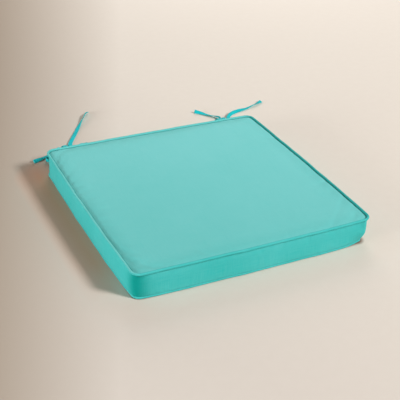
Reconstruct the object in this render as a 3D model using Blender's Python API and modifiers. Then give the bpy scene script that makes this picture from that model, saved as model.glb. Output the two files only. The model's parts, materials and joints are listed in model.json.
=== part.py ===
"""Boxed and piped chair seat pad with rear ties and a zipped rear opening.

Frame: metres, +Z up, +Y towards the rear edge that carries the ties, origin under the middle of the pad
on the surface that it rests on. The cover is a top and a bottom panel, a boxing band and a zipped rear
strip, joined at two piped seams. Inside are a foam core and two layers of batting.
"""

import math

import bmesh
import bpy
from mathutils import Vector

# Overall sizes, from seam line to seam line, and from the underside to the top panel's face.
PAD_WIDTH = 0.432
PAD_DEPTH = 0.432
PAD_HEIGHT = 0.050
CORNER_RADIUS = 0.016

# Cloth thickness, and the gap kept between touching pieces.
FABRIC = 0.0008
GAP = 0.0003

# Filling.
BATTING = 0.006
BATTING_MARGIN = 0.0008
FOAM_EDGE_RADIUS = 0.003

# Piping: a filler cord in a folded bias strip, whose two lips are caught in the seam.
WELT_CORD_RADIUS = 0.0015
WELT_FABRIC = 0.0006
WELT_OUTSET = 0.0006
WELT_STRIP_WIDTH = 0.0192
WELT_LIP_FABRIC = 0.0005
BOTTOM_WELT_LIFT = 0.0003

# Rear opening. Depths are measured inwards from the rear seam line, and the margin from each side edge.
OPENING_MARGIN = 0.089
BOXING_LAP = 0.012
ZIP_STRIP_DEPTH = 0.0025
ZIP_SLOT = 0.011
TAPE_WIDTH = 0.012
TAPE_FABRIC = 0.0006
COIL_WIDTH = 0.0022
COIL_DEPTH = 0.002
COIL_SPACING = 0.0014
COIL_ROUNDING = 0.0005
STOP_LENGTH = 0.004
STOP_ROUNDING = 0.0004

# Zipper slider and pull.
SLIDER_LENGTH = 0.011
SLIDER_WIDTH = 0.0092
SLIDER_PLATE = 0.0009
SLIDER_POST = 0.0008
SLIDER_POST_LENGTH = 0.005
SLIDER_CORNER = 0.002
JOIN_INSET = 0.00015
BRIDGE_WIDTH = 0.0016
BRIDGE_OPENING = 0.0052
BRIDGE_HEIGHT = 0.0018
BRIDGE_BAR = 0.0008
PULL_LENGTH = 0.024
PULL_WIDTH = 0.0076
PULL_THICKNESS = 0.001
PULL_ARM = 0.001
PULL_EYE_LENGTH = 0.0056
PULL_EYE_PLAY = 0.0004
PULL_HOLE_RADIUS = 0.0016
PULL_ROUNDING = 0.0002

# Ties: four strips at each rear corner, held by a stitched tab in the top seam. The insets run from
# the pad's side edges to the middle of each tab.
TIE_WIDTH = 0.008
TIE_THICKNESS = 0.0016
TIE_PITCH = 0.0095
TIE_LAYER = 0.0020
TIE_TAB_BEHIND_SEAM = 0.0039
TIE_TAB_IN_SEAM = 0.0007
TIE_STRAIGHT = 0.004
TIE_LEFT_INSET = 0.045
TIE_RIGHT_INSET = 0.059

# Fineness of arcs, in steps, and of the ties, in metres.
CORNER_STEPS = 6
WELT_STEPS = 14
PULL_TIP_STEPS = 8
PULL_HOLE_STEPS = 12
ROUTE_STEPS = 24
TIE_STEP = 0.006
WELD_DISTANCE = 1e-6

# Sizes that follow from the ones above.
HALF_WIDTH = PAD_WIDTH / 2
HALF_DEPTH = PAD_DEPTH / 2
WELT_BORE = WELT_CORD_RADIUS + GAP
WELT_RADIUS = WELT_BORE + WELT_FABRIC
WELT_LIP_LENGTH = (WELT_STRIP_WIDTH - math.pi * (WELT_BORE + WELT_RADIUS)) / 2
TOP_WELT_Z = PAD_HEIGHT - FABRIC - GAP - WELT_LIP_FABRIC - GAP / 2
BOTTOM_WELT_Z = WELT_RADIUS + BOTTOM_WELT_LIFT
LIP_HALF = WELT_LIP_FABRIC + GAP / 2
LIP_DIAGONAL = WELT_RADIUS + WELT_LIP_LENGTH
LIP_REACH = (LIP_DIAGONAL + LIP_HALF) / math.sqrt(2) - WELT_OUTSET
OPENING_WIDTH = PAD_WIDTH - 2 * OPENING_MARGIN
ZIP_MIDDLE_Z = (TOP_WELT_Z + BOTTOM_WELT_Z) / 2
PANEL_INSET = WELT_RADIUS - WELT_OUTSET + GAP
BATTING_INSET = LIP_REACH + BATTING_MARGIN
STRIP_BACK = ZIP_STRIP_DEPTH + FABRIC
TAPE_FRONT = STRIP_BACK + GAP
TAPE_BACK = TAPE_FRONT + TAPE_FABRIC
COIL_FRONT = TAPE_FRONT - GAP - COIL_DEPTH
SLIDER_FRONT = COIL_FRONT - GAP - SLIDER_PLATE
SLIDER_BACK = TAPE_BACK + GAP + SLIDER_PLATE
COIL_LENGTH = OPENING_WIDTH - 2 * (STOP_LENGTH + GAP)
STRIP_LENGTH = OPENING_WIDTH + 2 * BOXING_LAP
SLIDER_REST_X = COIL_LENGTH / 2 - SLIDER_LENGTH / 2 - GAP
PIN_DEPTH = SLIDER_FRONT - BRIDGE_HEIGHT / 2
TIE_TAB_WIDTH = TIE_PITCH + TIE_WIDTH
TIE_TAB_HEIGHT = TIE_LAYER + TIE_THICKNESS
TIE_TAB_TOP = TOP_WELT_Z - WELT_RADIUS - GAP
TIE_TAB_Z = TIE_TAB_TOP - TIE_TAB_HEIGHT / 2
TIE_ROOT_CLEARANCE = TIE_TAB_HEIGHT / 2 + 2 * GAP
TIE_ROOT_Y = HALF_DEPTH + TIE_TAB_BEHIND_SEAM + TIE_ROOT_CLEARANCE
TIE_LEFT_X = TIE_LEFT_INSET - HALF_WIDTH
TIE_RIGHT_X = HALF_WIDTH - TIE_RIGHT_INSET

# Routes of the ties. Each point is the distance to the right of the tab's middle, the distance behind
# the rear seam line, the height of the strip's lower edge above the surface, and its twist in degrees.
LEFT_ROUTES = {
    "tie_left_long_rear": [
        (0.0060, 0.0150, 0.0446, 0),
        (0.0090, 0.0290, 0.0345, 0),
        (0.0130, 0.0410, 0.0150, 0),
        (0.0175, 0.0540, 0.0030, 0),
        (0.0220, 0.0720, 0.0006, 0),
        (0.0280, 0.0900, 0.0006, 5),
        (0.0370, 0.1070, 0.0006, 10),
        (0.0480, 0.1250, 0.0006, 5),
        (0.0660, 0.1540, 0.0006, -5),
        (0.0800, 0.1760, 0.0006, -35),
        (0.0930, 0.1960, 0.0006, -60),
        (0.1030, 0.2110, 0.0006, -66),
        (0.1130, 0.2250, 0.0006, -20),
    ],
    "tie_left_long_side": [
        (-0.0055, 0.0150, 0.0446, 0),
        (-0.0050, 0.0290, 0.0345, 0),
        (-0.0035, 0.0410, 0.0150, 0),
        (-0.0005, 0.0530, 0.0030, 20),
        (0.0040, 0.0650, 0.0006, 50),
        (0.0070, 0.0760, 0.0006, 75),
        (0.0020, 0.0830, 0.0006, 70),
        (-0.0070, 0.0780, 0.0006, 50),
        (-0.0170, 0.0710, 0.0006, 38),
        (-0.0290, 0.0640, 0.0006, 20),
        (-0.0433, 0.0565, 0.0006, -20),
        (-0.0576, 0.0490, 0.0006, -52),
    ],
    "tie_left_short_side": [
        (-0.0080, 0.0130, 0.0370, 0),
        (-0.0130, 0.0230, 0.0220, 0),
        (-0.0190, 0.0310, 0.0080, 15),
        (-0.0260, 0.0370, 0.0010, 45),
        (-0.0320, 0.0425, 0.0006, 75),
        (-0.0335, 0.0490, 0.0006, 88),
        (-0.0270, 0.0530, 0.0006, 80),
        (-0.0180, 0.0530, 0.0006, 60),
    ],
    "tie_left_short_rear": [
        (0.0090, 0.0130, 0.0370, 0),
        (0.0150, 0.0240, 0.0220, 0),
        (0.0215, 0.0340, 0.0080, 0),
        (0.0290, 0.0450, 0.0010, 0),
        (0.0350, 0.0580, 0.0006, -10),
        (0.0390, 0.0720, 0.0006, -40),
        (0.0450, 0.0830, 0.0006, -55),
        (0.0550, 0.0880, 0.0006, -35),
        (0.0660, 0.0900, 0.0006, -10),
    ],
}
RIGHT_ROUTES = {
    "tie_right_long_rear": [
        (-0.0050, 0.0150, 0.0446, 0),
        (-0.0015, 0.0290, 0.0345, 0),
        (0.0045, 0.0410, 0.0150, 0),
        (0.0120, 0.0530, 0.0030, 10),
        (0.0220, 0.0650, 0.0006, 30),
        (0.0330, 0.0770, 0.0006, 60),
        (0.0410, 0.0880, 0.0006, 70),
        (0.0400, 0.0990, 0.0006, 55),
        (0.0330, 0.1100, 0.0006, 28),
        (0.0235, 0.1230, 0.0006, 10),
        (0.0130, 0.1340, 0.0006, -30),
        (0.0035, 0.1430, 0.0006, -60),
    ],
    "tie_right_long_side": [
        (0.0070, 0.0150, 0.0446, 0),
        (0.0140, 0.0290, 0.0345, 0),
        (0.0230, 0.0410, 0.0150, 0),
        (0.0330, 0.0530, 0.0030, 0),
        (0.0450, 0.0680, 0.0006, 0),
        (0.0550, 0.0830, 0.0006, 10),
        (0.0640, 0.0970, 0.0006, 25),
        (0.0780, 0.1070, 0.0006, 40),
        (0.0990, 0.1145, 0.0006, 30),
        (0.1200, 0.1210, 0.0006, -5),
        (0.1410, 0.1280, 0.0006, -30),
        (0.1550, 0.1340, 0.0006, -20),
        (0.1690, 0.1410, 0.0006, 25),
    ],
    "tie_right_short_side": [
        (0.0090, 0.0130, 0.0370, 0),
        (0.0170, 0.0230, 0.0220, 0),
        (0.0270, 0.0310, 0.0080, 0),
        (0.0390, 0.0380, 0.0010, 0),
        (0.0520, 0.0450, 0.0006, -15),
        (0.0650, 0.0520, 0.0006, -40),
        (0.0770, 0.0620, 0.0006, -50),
    ],
    "tie_right_short_rear": [
        (-0.0080, 0.0130, 0.0370, 0),
        (-0.0150, 0.0230, 0.0220, 0),
        (-0.0240, 0.0310, 0.0080, 0),
        (-0.0350, 0.0380, 0.0010, 0),
        (-0.0480, 0.0430, 0.0006, 15),
        (-0.0630, 0.0470, 0.0006, 40),
        (-0.0780, 0.0530, 0.0006, 60),
    ],
}

COLLECTION = "chair_seat_pad"


def clear_scene():
    for obj in list(bpy.data.objects):
        bpy.data.objects.remove(obj)
    for name in (COLLECTION, "cutters"):
        bpy.context.scene.collection.children.link(bpy.data.collections.new(name))


def material(name, colour, roughness, metallic=0.0):
    mat = bpy.data.materials.new(name)
    mat.use_nodes = True
    shader = mat.node_tree.nodes["Principled BSDF"]
    shader.inputs["Base Color"].default_value = (*colour, 1.0)
    shader.inputs["Roughness"].default_value = roughness
    shader.inputs["Metallic"].default_value = metallic
    return mat


def add_object(name, data, finish=None, cutter=False):
    """Links a new object to the parts, or to the cutters."""
    obj = bpy.data.objects.new(name, data)
    bpy.data.collections["cutters" if cutter else COLLECTION].objects.link(obj)
    if finish:
        data.materials.clear()
        data.materials.append(finish)
    obj.hide_render = cutter
    obj.display_type = "WIRE" if cutter else "TEXTURED"
    return obj


def block(name, lo, hi, finish=None, cutter=False, parent=None):
    """A box between two corners, with its origin at its middle."""
    mesh = bpy.data.meshes.new(name)
    bm = bmesh.new()
    bmesh.ops.create_cube(bm, size=1.0)
    size = [b - a for a, b in zip(lo, hi)]
    bmesh.ops.scale(bm, vec=size, verts=bm.verts)
    bm.to_mesh(mesh)
    bm.free()
    obj = add_object(name, mesh, finish, cutter)
    obj.location = [(a + b) / 2 for a, b in zip(lo, hi)]
    if parent:
        obj.parent = parent
        obj.matrix_parent_inverse = parent.matrix_basis.inverted()
    return obj


def bevel(obj, width, segments=2, angle=30):
    modifier = obj.modifiers.new("rounded_edges", "BEVEL")
    modifier.width = width
    modifier.segments = segments
    modifier.limit_method = "ANGLE"
    modifier.angle_limit = math.radians(angle)


def boolean(obj, other, operation):
    modifier = obj.modifiers.new(f"{operation.lower()}_{other.name}", "BOOLEAN")
    modifier.operation = operation
    modifier.object = other


def smooth(obj, angle=35):
    obj.data.shade_smooth()
    obj.data.set_sharp_from_angle(angle=math.radians(angle))


def poly_spline(curve, points, cyclic):
    spline = curve.splines.new("POLY")
    spline.points.add(len(points) - 1)
    for target, point in zip(spline.points, points):
        target.co = (*point, 1.0)
    spline.use_cyclic_u = cyclic
    return spline


def rounded_rectangle(half_x, half_y, radius):
    """Corner arcs in turn, anticlockwise from the front right corner."""
    points = []
    for quarter in range(4):
        sign_x = 1 if quarter in (0, 1) else -1
        sign_y = 1 if quarter in (1, 2) else -1
        for step in range(CORNER_STEPS + 1):
            angle = math.radians(90 * (quarter - 1 + step / CORNER_STEPS))
            x = sign_x * (half_x - radius) + radius * math.cos(angle)
            y = sign_y * (half_y - radius) + radius * math.sin(angle)
            points.append((x, y))
    return points


def flat_sheet(name, outlines, low, thickness, finish):
    """Flat outlines filled and thickened upwards from a height. An inner outline is a hole."""
    curve = bpy.data.curves.new(name, "CURVE")
    curve.dimensions = "2D"
    curve.fill_mode = "BOTH"
    curve.extrude = thickness / 2
    for outline in outlines:
        poly_spline(curve, [(x, y, 0) for x, y in outline], True)
    obj = add_object(name, curve, finish)
    obj.location = (0, 0, low + thickness / 2)
    return obj


def curve_to_mesh(obj):
    """Replaces a curve object by the mesh that it makes, with its caps welded."""
    bpy.context.view_layer.update()
    name, matrix = obj.name, obj.matrix_world.copy()
    graph = bpy.context.evaluated_depsgraph_get()
    mesh = bpy.data.meshes.new_from_object(obj.evaluated_get(graph))
    bm = bmesh.new()
    bm.from_mesh(mesh)
    bmesh.ops.remove_doubles(bm, verts=bm.verts, dist=WELD_DISTANCE)
    bm.to_mesh(mesh)
    bm.free()
    finish = obj.data.materials[0]
    bpy.data.objects.remove(obj)
    made = add_object(name, mesh, finish)
    made.matrix_world = matrix
    smooth(made)
    return made


# Cover panels and filling.


def seam_outline(inset):
    """The seam line in plan, moved inwards."""
    radius = max(CORNER_RADIUS - inset, GAP)
    return rounded_rectangle(HALF_WIDTH - inset, HALF_DEPTH - inset, radius)


def make_panels(finish):
    outline = [seam_outline(PANEL_INSET)]
    flat_sheet("top_panel", outline, PAD_HEIGHT - FABRIC, FABRIC, finish)
    flat_sheet("bottom_panel", outline, 0.0, FABRIC, finish)


def make_filling(foam_finish, batting_finish):
    outline = [seam_outline(BATTING_INSET)]
    batting_low = FABRIC + GAP
    foam_low = batting_low + BATTING + GAP
    foam_high = PAD_HEIGHT - foam_low
    flat_sheet("batting_bottom", outline, batting_low, BATTING, batting_finish)
    flat_sheet("batting_top", outline, foam_high + GAP, BATTING, batting_finish)
    front_inset = FABRIC + GAP
    rear_inset = SLIDER_BACK + GAP
    half_y = HALF_DEPTH - (front_inset + rear_inset) / 2
    middle_y = (front_inset - rear_inset) / 2
    core = rounded_rectangle(HALF_WIDTH - front_inset, half_y, CORNER_RADIUS)
    core = [(x, y + middle_y) for x, y in core]
    foam = flat_sheet("foam_core", [core], foam_low, foam_high - foam_low, foam_finish)
    bevel(curve_to_mesh(foam), FOAM_EDGE_RADIUS)


# Piping.


def welt_section(diagonal):
    """A bias strip wrapped round the cord. The lips run inwards, up or down at 45 degrees."""
    direction = math.radians(180 - 45 * diagonal)
    slit = GAP / 2

    def place(along, across):
        x = along * math.cos(direction) - across * math.sin(direction)
        y = along * math.sin(direction) + across * math.cos(direction)
        return (x + WELT_OUTSET, y, 0)

    def arc(radius, half_gap):
        start = math.asin(half_gap / radius)
        turn = 2 * (math.pi - start) / WELT_STEPS
        angles = [start + turn * step for step in range(WELT_STEPS + 1)]
        return [place(radius * math.cos(a), radius * math.sin(a)) for a in angles]

    lower_end = [place(LIP_DIAGONAL, -LIP_HALF), place(LIP_DIAGONAL, -slit)]
    upper_end = [place(LIP_DIAGONAL, slit), place(LIP_DIAGONAL, LIP_HALF)]
    points = lower_end + arc(WELT_BORE, slit)[::-1] + upper_end + arc(WELT_RADIUS, LIP_HALF)
    area = sum(a[0] * b[1] - b[0] * a[1] for a, b in zip(points, points[1:] + points[:1]))
    return points if area < 0 else points[::-1]


def make_welt(side, height, diagonal, cover_finish, cord_finish):
    path = [(x, y, 0) for x, y in seam_outline(0)]
    guide = bpy.data.curves.new(f"{side}_welt_section", "CURVE")
    guide.dimensions = "2D"
    guide.fill_mode = "NONE"
    poly_spline(guide, welt_section(diagonal), True)
    section = add_object(guide.name, guide, cutter=True)

    cover = bpy.data.curves.new(f"{side}_welt_cover", "CURVE")
    cover.dimensions = "3D"
    cover.twist_mode = "Z_UP"
    cover.bevel_mode = "OBJECT"
    cover.bevel_object = section
    poly_spline(cover, path, True)
    add_object(cover.name, cover, cover_finish).location = (0, 0, height)

    cord = bpy.data.curves.new(f"{side}_welt_cord", "CURVE")
    cord.dimensions = "3D"
    cord.bevel_depth = WELT_CORD_RADIUS
    cord.bevel_resolution = 2
    poly_spline(cord, [(x, y, 0) for x, y in seam_outline(-WELT_OUTSET)], True)
    add_object(cord.name, cord, cord_finish).location = (0, 0, height)


def wall_limits(depth_back):
    """Lowest and highest edge of a wall whose back face is this far inside the seam line."""
    clear = (LIP_HALF + GAP) * math.sqrt(2)
    reach = max(WELT_OUTSET + depth_back + clear, WELT_RADIUS + GAP)
    return BOTTOM_WELT_Z + reach, TOP_WELT_Z - reach


# Boxing band and rear opening.


def make_boxing(finish):
    """One strip round the front and sides, whose ends lap over the ends of the zipped strip."""
    low, high = wall_limits(FABRIC)
    outline = rounded_rectangle(HALF_WIDTH, HALF_DEPTH, CORNER_RADIUS)
    per_corner = CORNER_STEPS + 1
    front_right, rear_right, rear_left, front_left = (
        outline[k * per_corner : (k + 1) * per_corner] for k in range(4)
    )
    end = OPENING_WIDTH / 2
    route = [(-end, HALF_DEPTH), *rear_left, *front_left]
    route += [*front_right, *rear_right, (end, HALF_DEPTH)]
    curve = bpy.data.curves.new("boxing_band", "CURVE")
    curve.dimensions = "2D"
    curve.fill_mode = "NONE"
    curve.extrude = (high - low) / 2
    poly_spline(curve, [(x, y, 0) for x, y in route], False)
    band = add_object("boxing_band", curve, finish)
    band.location = (0, 0, (low + high) / 2)
    band = curve_to_mesh(band)
    shell = band.modifiers.new("fabric", "SOLIDIFY")
    shell.thickness = FABRIC
    shell.offset = 1.0
    for side, x in (("left", TIE_LEFT_X), ("right", TIE_RIGHT_X)):
        boolean(band, tie_slot(side, x, high), "DIFFERENCE")
    return band


def tie_slot(side, x, wall_top):
    """The gap in the boxing's upper edge that a tie tab passes through."""
    half = TIE_TAB_WIDTH / 2 + GAP
    depth = FABRIC * 2
    low = (x - half, HALF_DEPTH - depth, TIE_TAB_Z - TIE_TAB_HEIGHT / 2 - GAP)
    high = (x + half, HALF_DEPTH + depth, wall_top + depth)
    return block(f"tie_slot_{side}", low, high, cutter=True)


def rear_block(name, x_range, depth_range, z_range, finish, **options):
    """A box in the rear opening, its depths measured inwards from the rear seam line."""
    low = (x_range[0], HALF_DEPTH - depth_range[1], z_range[0])
    high = (x_range[1], HALF_DEPTH - depth_range[0], z_range[1])
    return block(name, low, high, finish, **options)


def make_rear_opening(fabric_finish, tape_finish, coil_finish, stop_finish):
    low, high = wall_limits(STRIP_BACK)
    middle = ZIP_MIDDLE_Z
    strip = (-STRIP_LENGTH / 2, STRIP_LENGTH / 2)
    tape = (-OPENING_WIDTH / 2, OPENING_WIDTH / 2)
    coil = (-COIL_LENGTH / 2, COIL_LENGTH / 2)
    for side, sign, edge in (("upper", 1, high), ("lower", -1, low)):

        def heights(near, far):
            return sorted((middle + sign * near, middle + sign * far))

        strip_z = sorted((middle + sign * ZIP_SLOT / 2, edge))
        depths = (ZIP_STRIP_DEPTH, STRIP_BACK)
        rear_block(f"zipper_panel_{side}", strip, depths, strip_z, fabric_finish)
        near = COIL_SPACING / 2
        tape_z = heights(near, near + TAPE_WIDTH)
        rear_block(f"zipper_tape_{side}", tape, (TAPE_FRONT, TAPE_BACK), tape_z, tape_finish)
        coil_z = heights(near, near + COIL_WIDTH)
        depths = (COIL_FRONT, COIL_FRONT + COIL_DEPTH)
        row = rear_block(f"zipper_coil_{side}", coil, depths, coil_z, coil_finish)
        bevel(row, COIL_ROUNDING)
        stop_x = (coil[1] + GAP, tape[1])
        stop = rear_block(f"zipper_top_stop_{side}", stop_x, depths, coil_z, stop_finish)
        bevel(stop, STOP_ROUNDING)
    half = COIL_SPACING / 2 + COIL_WIDTH
    stop_x = (tape[0], coil[0] - GAP)
    depths = (COIL_FRONT, COIL_FRONT + COIL_DEPTH)
    heights = (middle - half, middle + half)
    stop = rear_block("zipper_bottom_stop", stop_x, depths, heights, stop_finish)
    bevel(stop, STOP_ROUNDING)


def make_slider(finish):
    """Two plates joined by a post between the coils, with an arch that holds the pull."""
    middle = ZIP_MIDDLE_Z
    x = SLIDER_REST_X
    half = SLIDER_LENGTH / 2
    width = SLIDER_WIDTH / 2
    plate_back = SLIDER_FRONT + SLIDER_PLATE
    slider = rear_block(
        "zipper_slider",
        (x - half, x + half),
        (SLIDER_FRONT, plate_back),
        (middle - width, middle + width),
        finish,
    )
    corners = slider.modifiers.new("plate_corners", "BEVEL")
    corners.width = SLIDER_CORNER
    corners.segments = 3
    corners.limit_method = "WEIGHT"
    weights = slider.data.attributes.new("bevel_weight_edge", "FLOAT", "EDGE")
    for edge in slider.data.edges:
        ends = [slider.data.vertices[k].co for k in edge.vertices]
        weights.data[edge.index].value = float(abs(ends[0].y - ends[1].y) > SLIDER_PLATE / 2)

    def add(name, x_range, depths, z_range):
        tool = rear_block(
            f"slider_{name}", x_range, depths, z_range, None, cutter=True, parent=slider
        )
        boolean(slider, tool, "UNION")

    inner = (TAPE_BACK + GAP, SLIDER_BACK)
    trim = SLIDER_CORNER / 2
    add("inner_plate", (x - half + trim, x + half - trim), inner, (middle - width, middle + width))
    post = SLIDER_POST_LENGTH / 2
    depths = (plate_back - SLIDER_PLATE / 2, TAPE_BACK + GAP + SLIDER_PLATE / 2)
    add("post", (x - post, x + post), depths, (middle - SLIDER_POST / 2, middle + SLIDER_POST / 2))
    lip = width - (COIL_SPACING / 2 + COIL_WIDTH + GAP)
    for name, sign in (("upper_flange", 1), ("lower_flange", -1)):
        edge = width - JOIN_INSET
        z_range = sorted((middle + sign * edge, middle + sign * (width - lip)))
        depths = (plate_back - SLIDER_PLATE / 2, TAPE_FRONT - GAP)
        add(name, (x - half + SLIDER_CORNER, x + half - SLIDER_CORNER), depths, z_range)
    bridge = BRIDGE_WIDTH / 2
    reach = BRIDGE_OPENING / 2
    bar = SLIDER_FRONT - BRIDGE_HEIGHT
    foot = SLIDER_FRONT + SLIDER_PLATE / 2
    leg_z = (middle - bridge + JOIN_INSET, middle + bridge - JOIN_INSET)
    for name, sign in (("arch_front", 1), ("arch_rear", -1)):
        x_range = sorted((x + sign * reach, x + sign * (reach + BRIDGE_BAR - JOIN_INSET)))
        add(name, x_range, (bar - BRIDGE_BAR / 2, foot), leg_z)
    span = reach + BRIDGE_BAR
    add("arch_top", (x - span, x + span), (bar - BRIDGE_BAR, bar), (middle - bridge, middle + bridge))
    return slider


def make_pull(slider, finish):
    """A flat pull whose end bar is captive under the slider's arch. Its origin is on that bar."""
    half = PULL_WIDTH / 2
    bar = PULL_THICKNESS / 2
    eye = BRIDGE_WIDTH / 2 + PULL_EYE_PLAY
    tip = PULL_LENGTH - half
    outline = [(-bar, -eye - PULL_ARM), (PULL_EYE_LENGTH, -eye - PULL_ARM)]
    outline += [(PULL_EYE_LENGTH + PULL_ARM, -half)]
    for step in range(PULL_TIP_STEPS + 1):
        angle = math.radians(-90 + 180 * step / PULL_TIP_STEPS)
        outline.append((tip + half * math.cos(angle), half * math.sin(angle)))
    outline += [(PULL_EYE_LENGTH + PULL_ARM, half)]
    outline += [(PULL_EYE_LENGTH, eye + PULL_ARM), (-bar, eye + PULL_ARM)]
    window = [(bar, -eye), (PULL_EYE_LENGTH, -eye), (PULL_EYE_LENGTH, eye), (bar, eye)]
    hole = []
    for step in range(PULL_HOLE_STEPS):
        angle = math.radians(360 * step / PULL_HOLE_STEPS)
        x = tip + PULL_HOLE_RADIUS * math.cos(angle)
        hole.append((x, PULL_HOLE_RADIUS * math.sin(angle)))
    pull = flat_sheet("zipper_pull", [outline, window, hole], 0.0, PULL_THICKNESS, finish)
    pull = curve_to_mesh(pull)
    bevel(pull, PULL_ROUNDING, segments=1, angle=60)
    pull.location = (SLIDER_REST_X, HALF_DEPTH - PIN_DEPTH, ZIP_MIDDLE_Z)
    pull.rotation_euler = (math.radians(90), 0, math.radians(180))
    pull.parent = slider
    pull.matrix_parent_inverse = slider.matrix_basis.inverted()
    return pull


# Ties.


def smooth_route(points, step):
    """Even samples along a smooth curve through the points. Each point may have any number of values."""
    count = len(points)
    dense = []
    for k in range(count - 1):
        before = points[max(k - 1, 0)]
        start, end = points[k], points[k + 1]
        after = points[min(k + 2, count - 1)]
        for part in range(ROUTE_STEPS):
            t = part / ROUTE_STEPS
            dense.append(
                [
                    0.5 * (2 * b + (c - a) * t + (2 * a - 5 * b + 4 * c - d) * t * t
                    + (3 * b - a - 3 * c + d) * t * t * t)
                    for a, b, c, d in zip(before, start, end, after)
                ]
            )
    dense.append(list(points[-1]))
    lengths = [0.0]
    for a, b in zip(dense, dense[1:]):
        lengths.append(lengths[-1] + (Vector(b[:3]) - Vector(a[:3])).length)
    total = lengths[-1]
    samples = round(total / step)
    made, k = [], 0
    for n in range(samples + 1):
        target = total * n / samples
        while k < len(dense) - 2 and lengths[k + 1] < target:
            k += 1
        share = (target - lengths[k]) / (lengths[k + 1] - lengths[k])
        made.append([a + (b - a) * share for a, b in zip(dense[k], dense[k + 1])])
    return made


def tie_points(tab_x, shift_x, layer_z, route):
    """World points and twists of a tie: straight out of its tab, then along its route."""
    points = [(tab_x + shift_x, TIE_ROOT_Y, layer_z, 0.0)]
    points.append((tab_x + shift_x, TIE_ROOT_Y + TIE_STRAIGHT, layer_z, 0.0))
    for right, behind, lowest, twist in route:
        angle = math.radians(twist)
        standing = abs(math.sin(angle)) * TIE_WIDTH / 2 + abs(math.cos(angle)) * TIE_THICKNESS / 2
        points.append((tab_x + right, HALF_DEPTH + behind, lowest + standing, angle))
    return smooth_route(points, TIE_STEP)


def make_ties(finish):
    half_x, half_y = TIE_WIDTH / 2, TIE_THICKNESS / 2
    guide = bpy.data.curves.new("tie_section", "CURVE")
    guide.dimensions = "2D"
    guide.fill_mode = "NONE"
    corners = [(-half_x, -half_y, 0), (-half_x, half_y, 0), (half_x, half_y, 0), (half_x, -half_y, 0)]
    poly_spline(guide, corners, True)
    section = add_object("tie_section", guide, cutter=True)
    for side, tab_x, routes in (("left", TIE_LEFT_X, LEFT_ROUTES), ("right", TIE_RIGHT_X, RIGHT_ROUTES)):
        hinge = bpy.data.objects.new(f"tie_hinge_{side}", None)
        bpy.data.collections[COLLECTION].objects.link(hinge)
        hinge.location = (tab_x, TIE_ROOT_Y, TIE_TAB_Z)
        for name, route in routes.items():
            shift = math.copysign(TIE_PITCH / 2, route[0][0])
            layer = TIE_LAYER / 2 * (1 if "long" in name else -1)
            samples = tie_points(tab_x, shift, TIE_TAB_Z + layer, route)
            curve = bpy.data.curves.new(name, "CURVE")
            curve.dimensions = "3D"
            curve.twist_mode = "Z_UP"
            curve.bevel_mode = "OBJECT"
            curve.bevel_object = section
            curve.use_fill_caps = True
            points = [(x - tab_x, y - TIE_ROOT_Y, z - TIE_TAB_Z) for x, y, z, _ in samples]
            spline = poly_spline(curve, points, False)
            for point, sample in zip(spline.points, samples):
                point.tilt = sample[3]
            add_object(name, curve, finish).parent = hinge


def make_tie_tabs(finish):
    for side, x in (("left", TIE_LEFT_X), ("right", TIE_RIGHT_X)):
        half = TIE_TAB_WIDTH / 2
        low = (x - half, HALF_DEPTH - TIE_TAB_IN_SEAM, TIE_TAB_Z - TIE_TAB_HEIGHT / 2)
        high = (x + half, HALF_DEPTH + TIE_TAB_BEHIND_SEAM, TIE_TAB_TOP)
        block(f"tie_tab_{side}", low, high, finish)


def build():
    clear_scene()
    canvas = material("aqua_canvas", (0.13, 0.60, 0.57), 0.85)
    tie_cloth = material("tie_canvas", (0.05, 0.50, 0.50), 0.85)
    foam = material("cream_foam", (0.85, 0.80, 0.62), 0.95)
    batting = material("white_batting", (0.90, 0.90, 0.88), 1.0)
    piping = material("white_piping_cord", (0.85, 0.85, 0.82), 0.9)
    tape = material("zipper_tape_weave", (0.10, 0.50, 0.48), 0.8)
    coil = material("zipper_nylon", (0.12, 0.55, 0.52), 0.4)
    metal = material("painted_zinc", (0.12, 0.50, 0.48), 0.35, 0.4)

    make_panels(canvas)
    make_filling(foam, batting)
    make_welt("top", TOP_WELT_Z, -1, canvas, piping)
    make_welt("bottom", BOTTOM_WELT_Z, 1, canvas, piping)
    make_boxing(canvas)
    make_rear_opening(canvas, tape, coil, metal)
    make_pull(make_slider(metal), metal)
    make_tie_tabs(tie_cloth)
    make_ties(tie_cloth)
    bpy.context.view_layer.update()


build()
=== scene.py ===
# %% [markdown]
# # A boxed and piped chair seat pad
#
# The pad is a cover of plain canvas over a slab of foam. Two square panels, top and bottom, are joined
# by a boxing band, and a piped seam runs round each join. Fabric ties hang from the two rear corners and
# a zipper closes the rear edge. The model that carries the sizes and the joints is loaded first, as a
# frame, and this script builds the cloth round it. Lengths are in metres, +Z is up and +Y is the rear.

# %% Load the frame
import json
import math

import bmesh
import bpy
import numpy as np
from mathutils import Matrix, Vector
from mathutils.bvhtree import BVHTree


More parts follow.
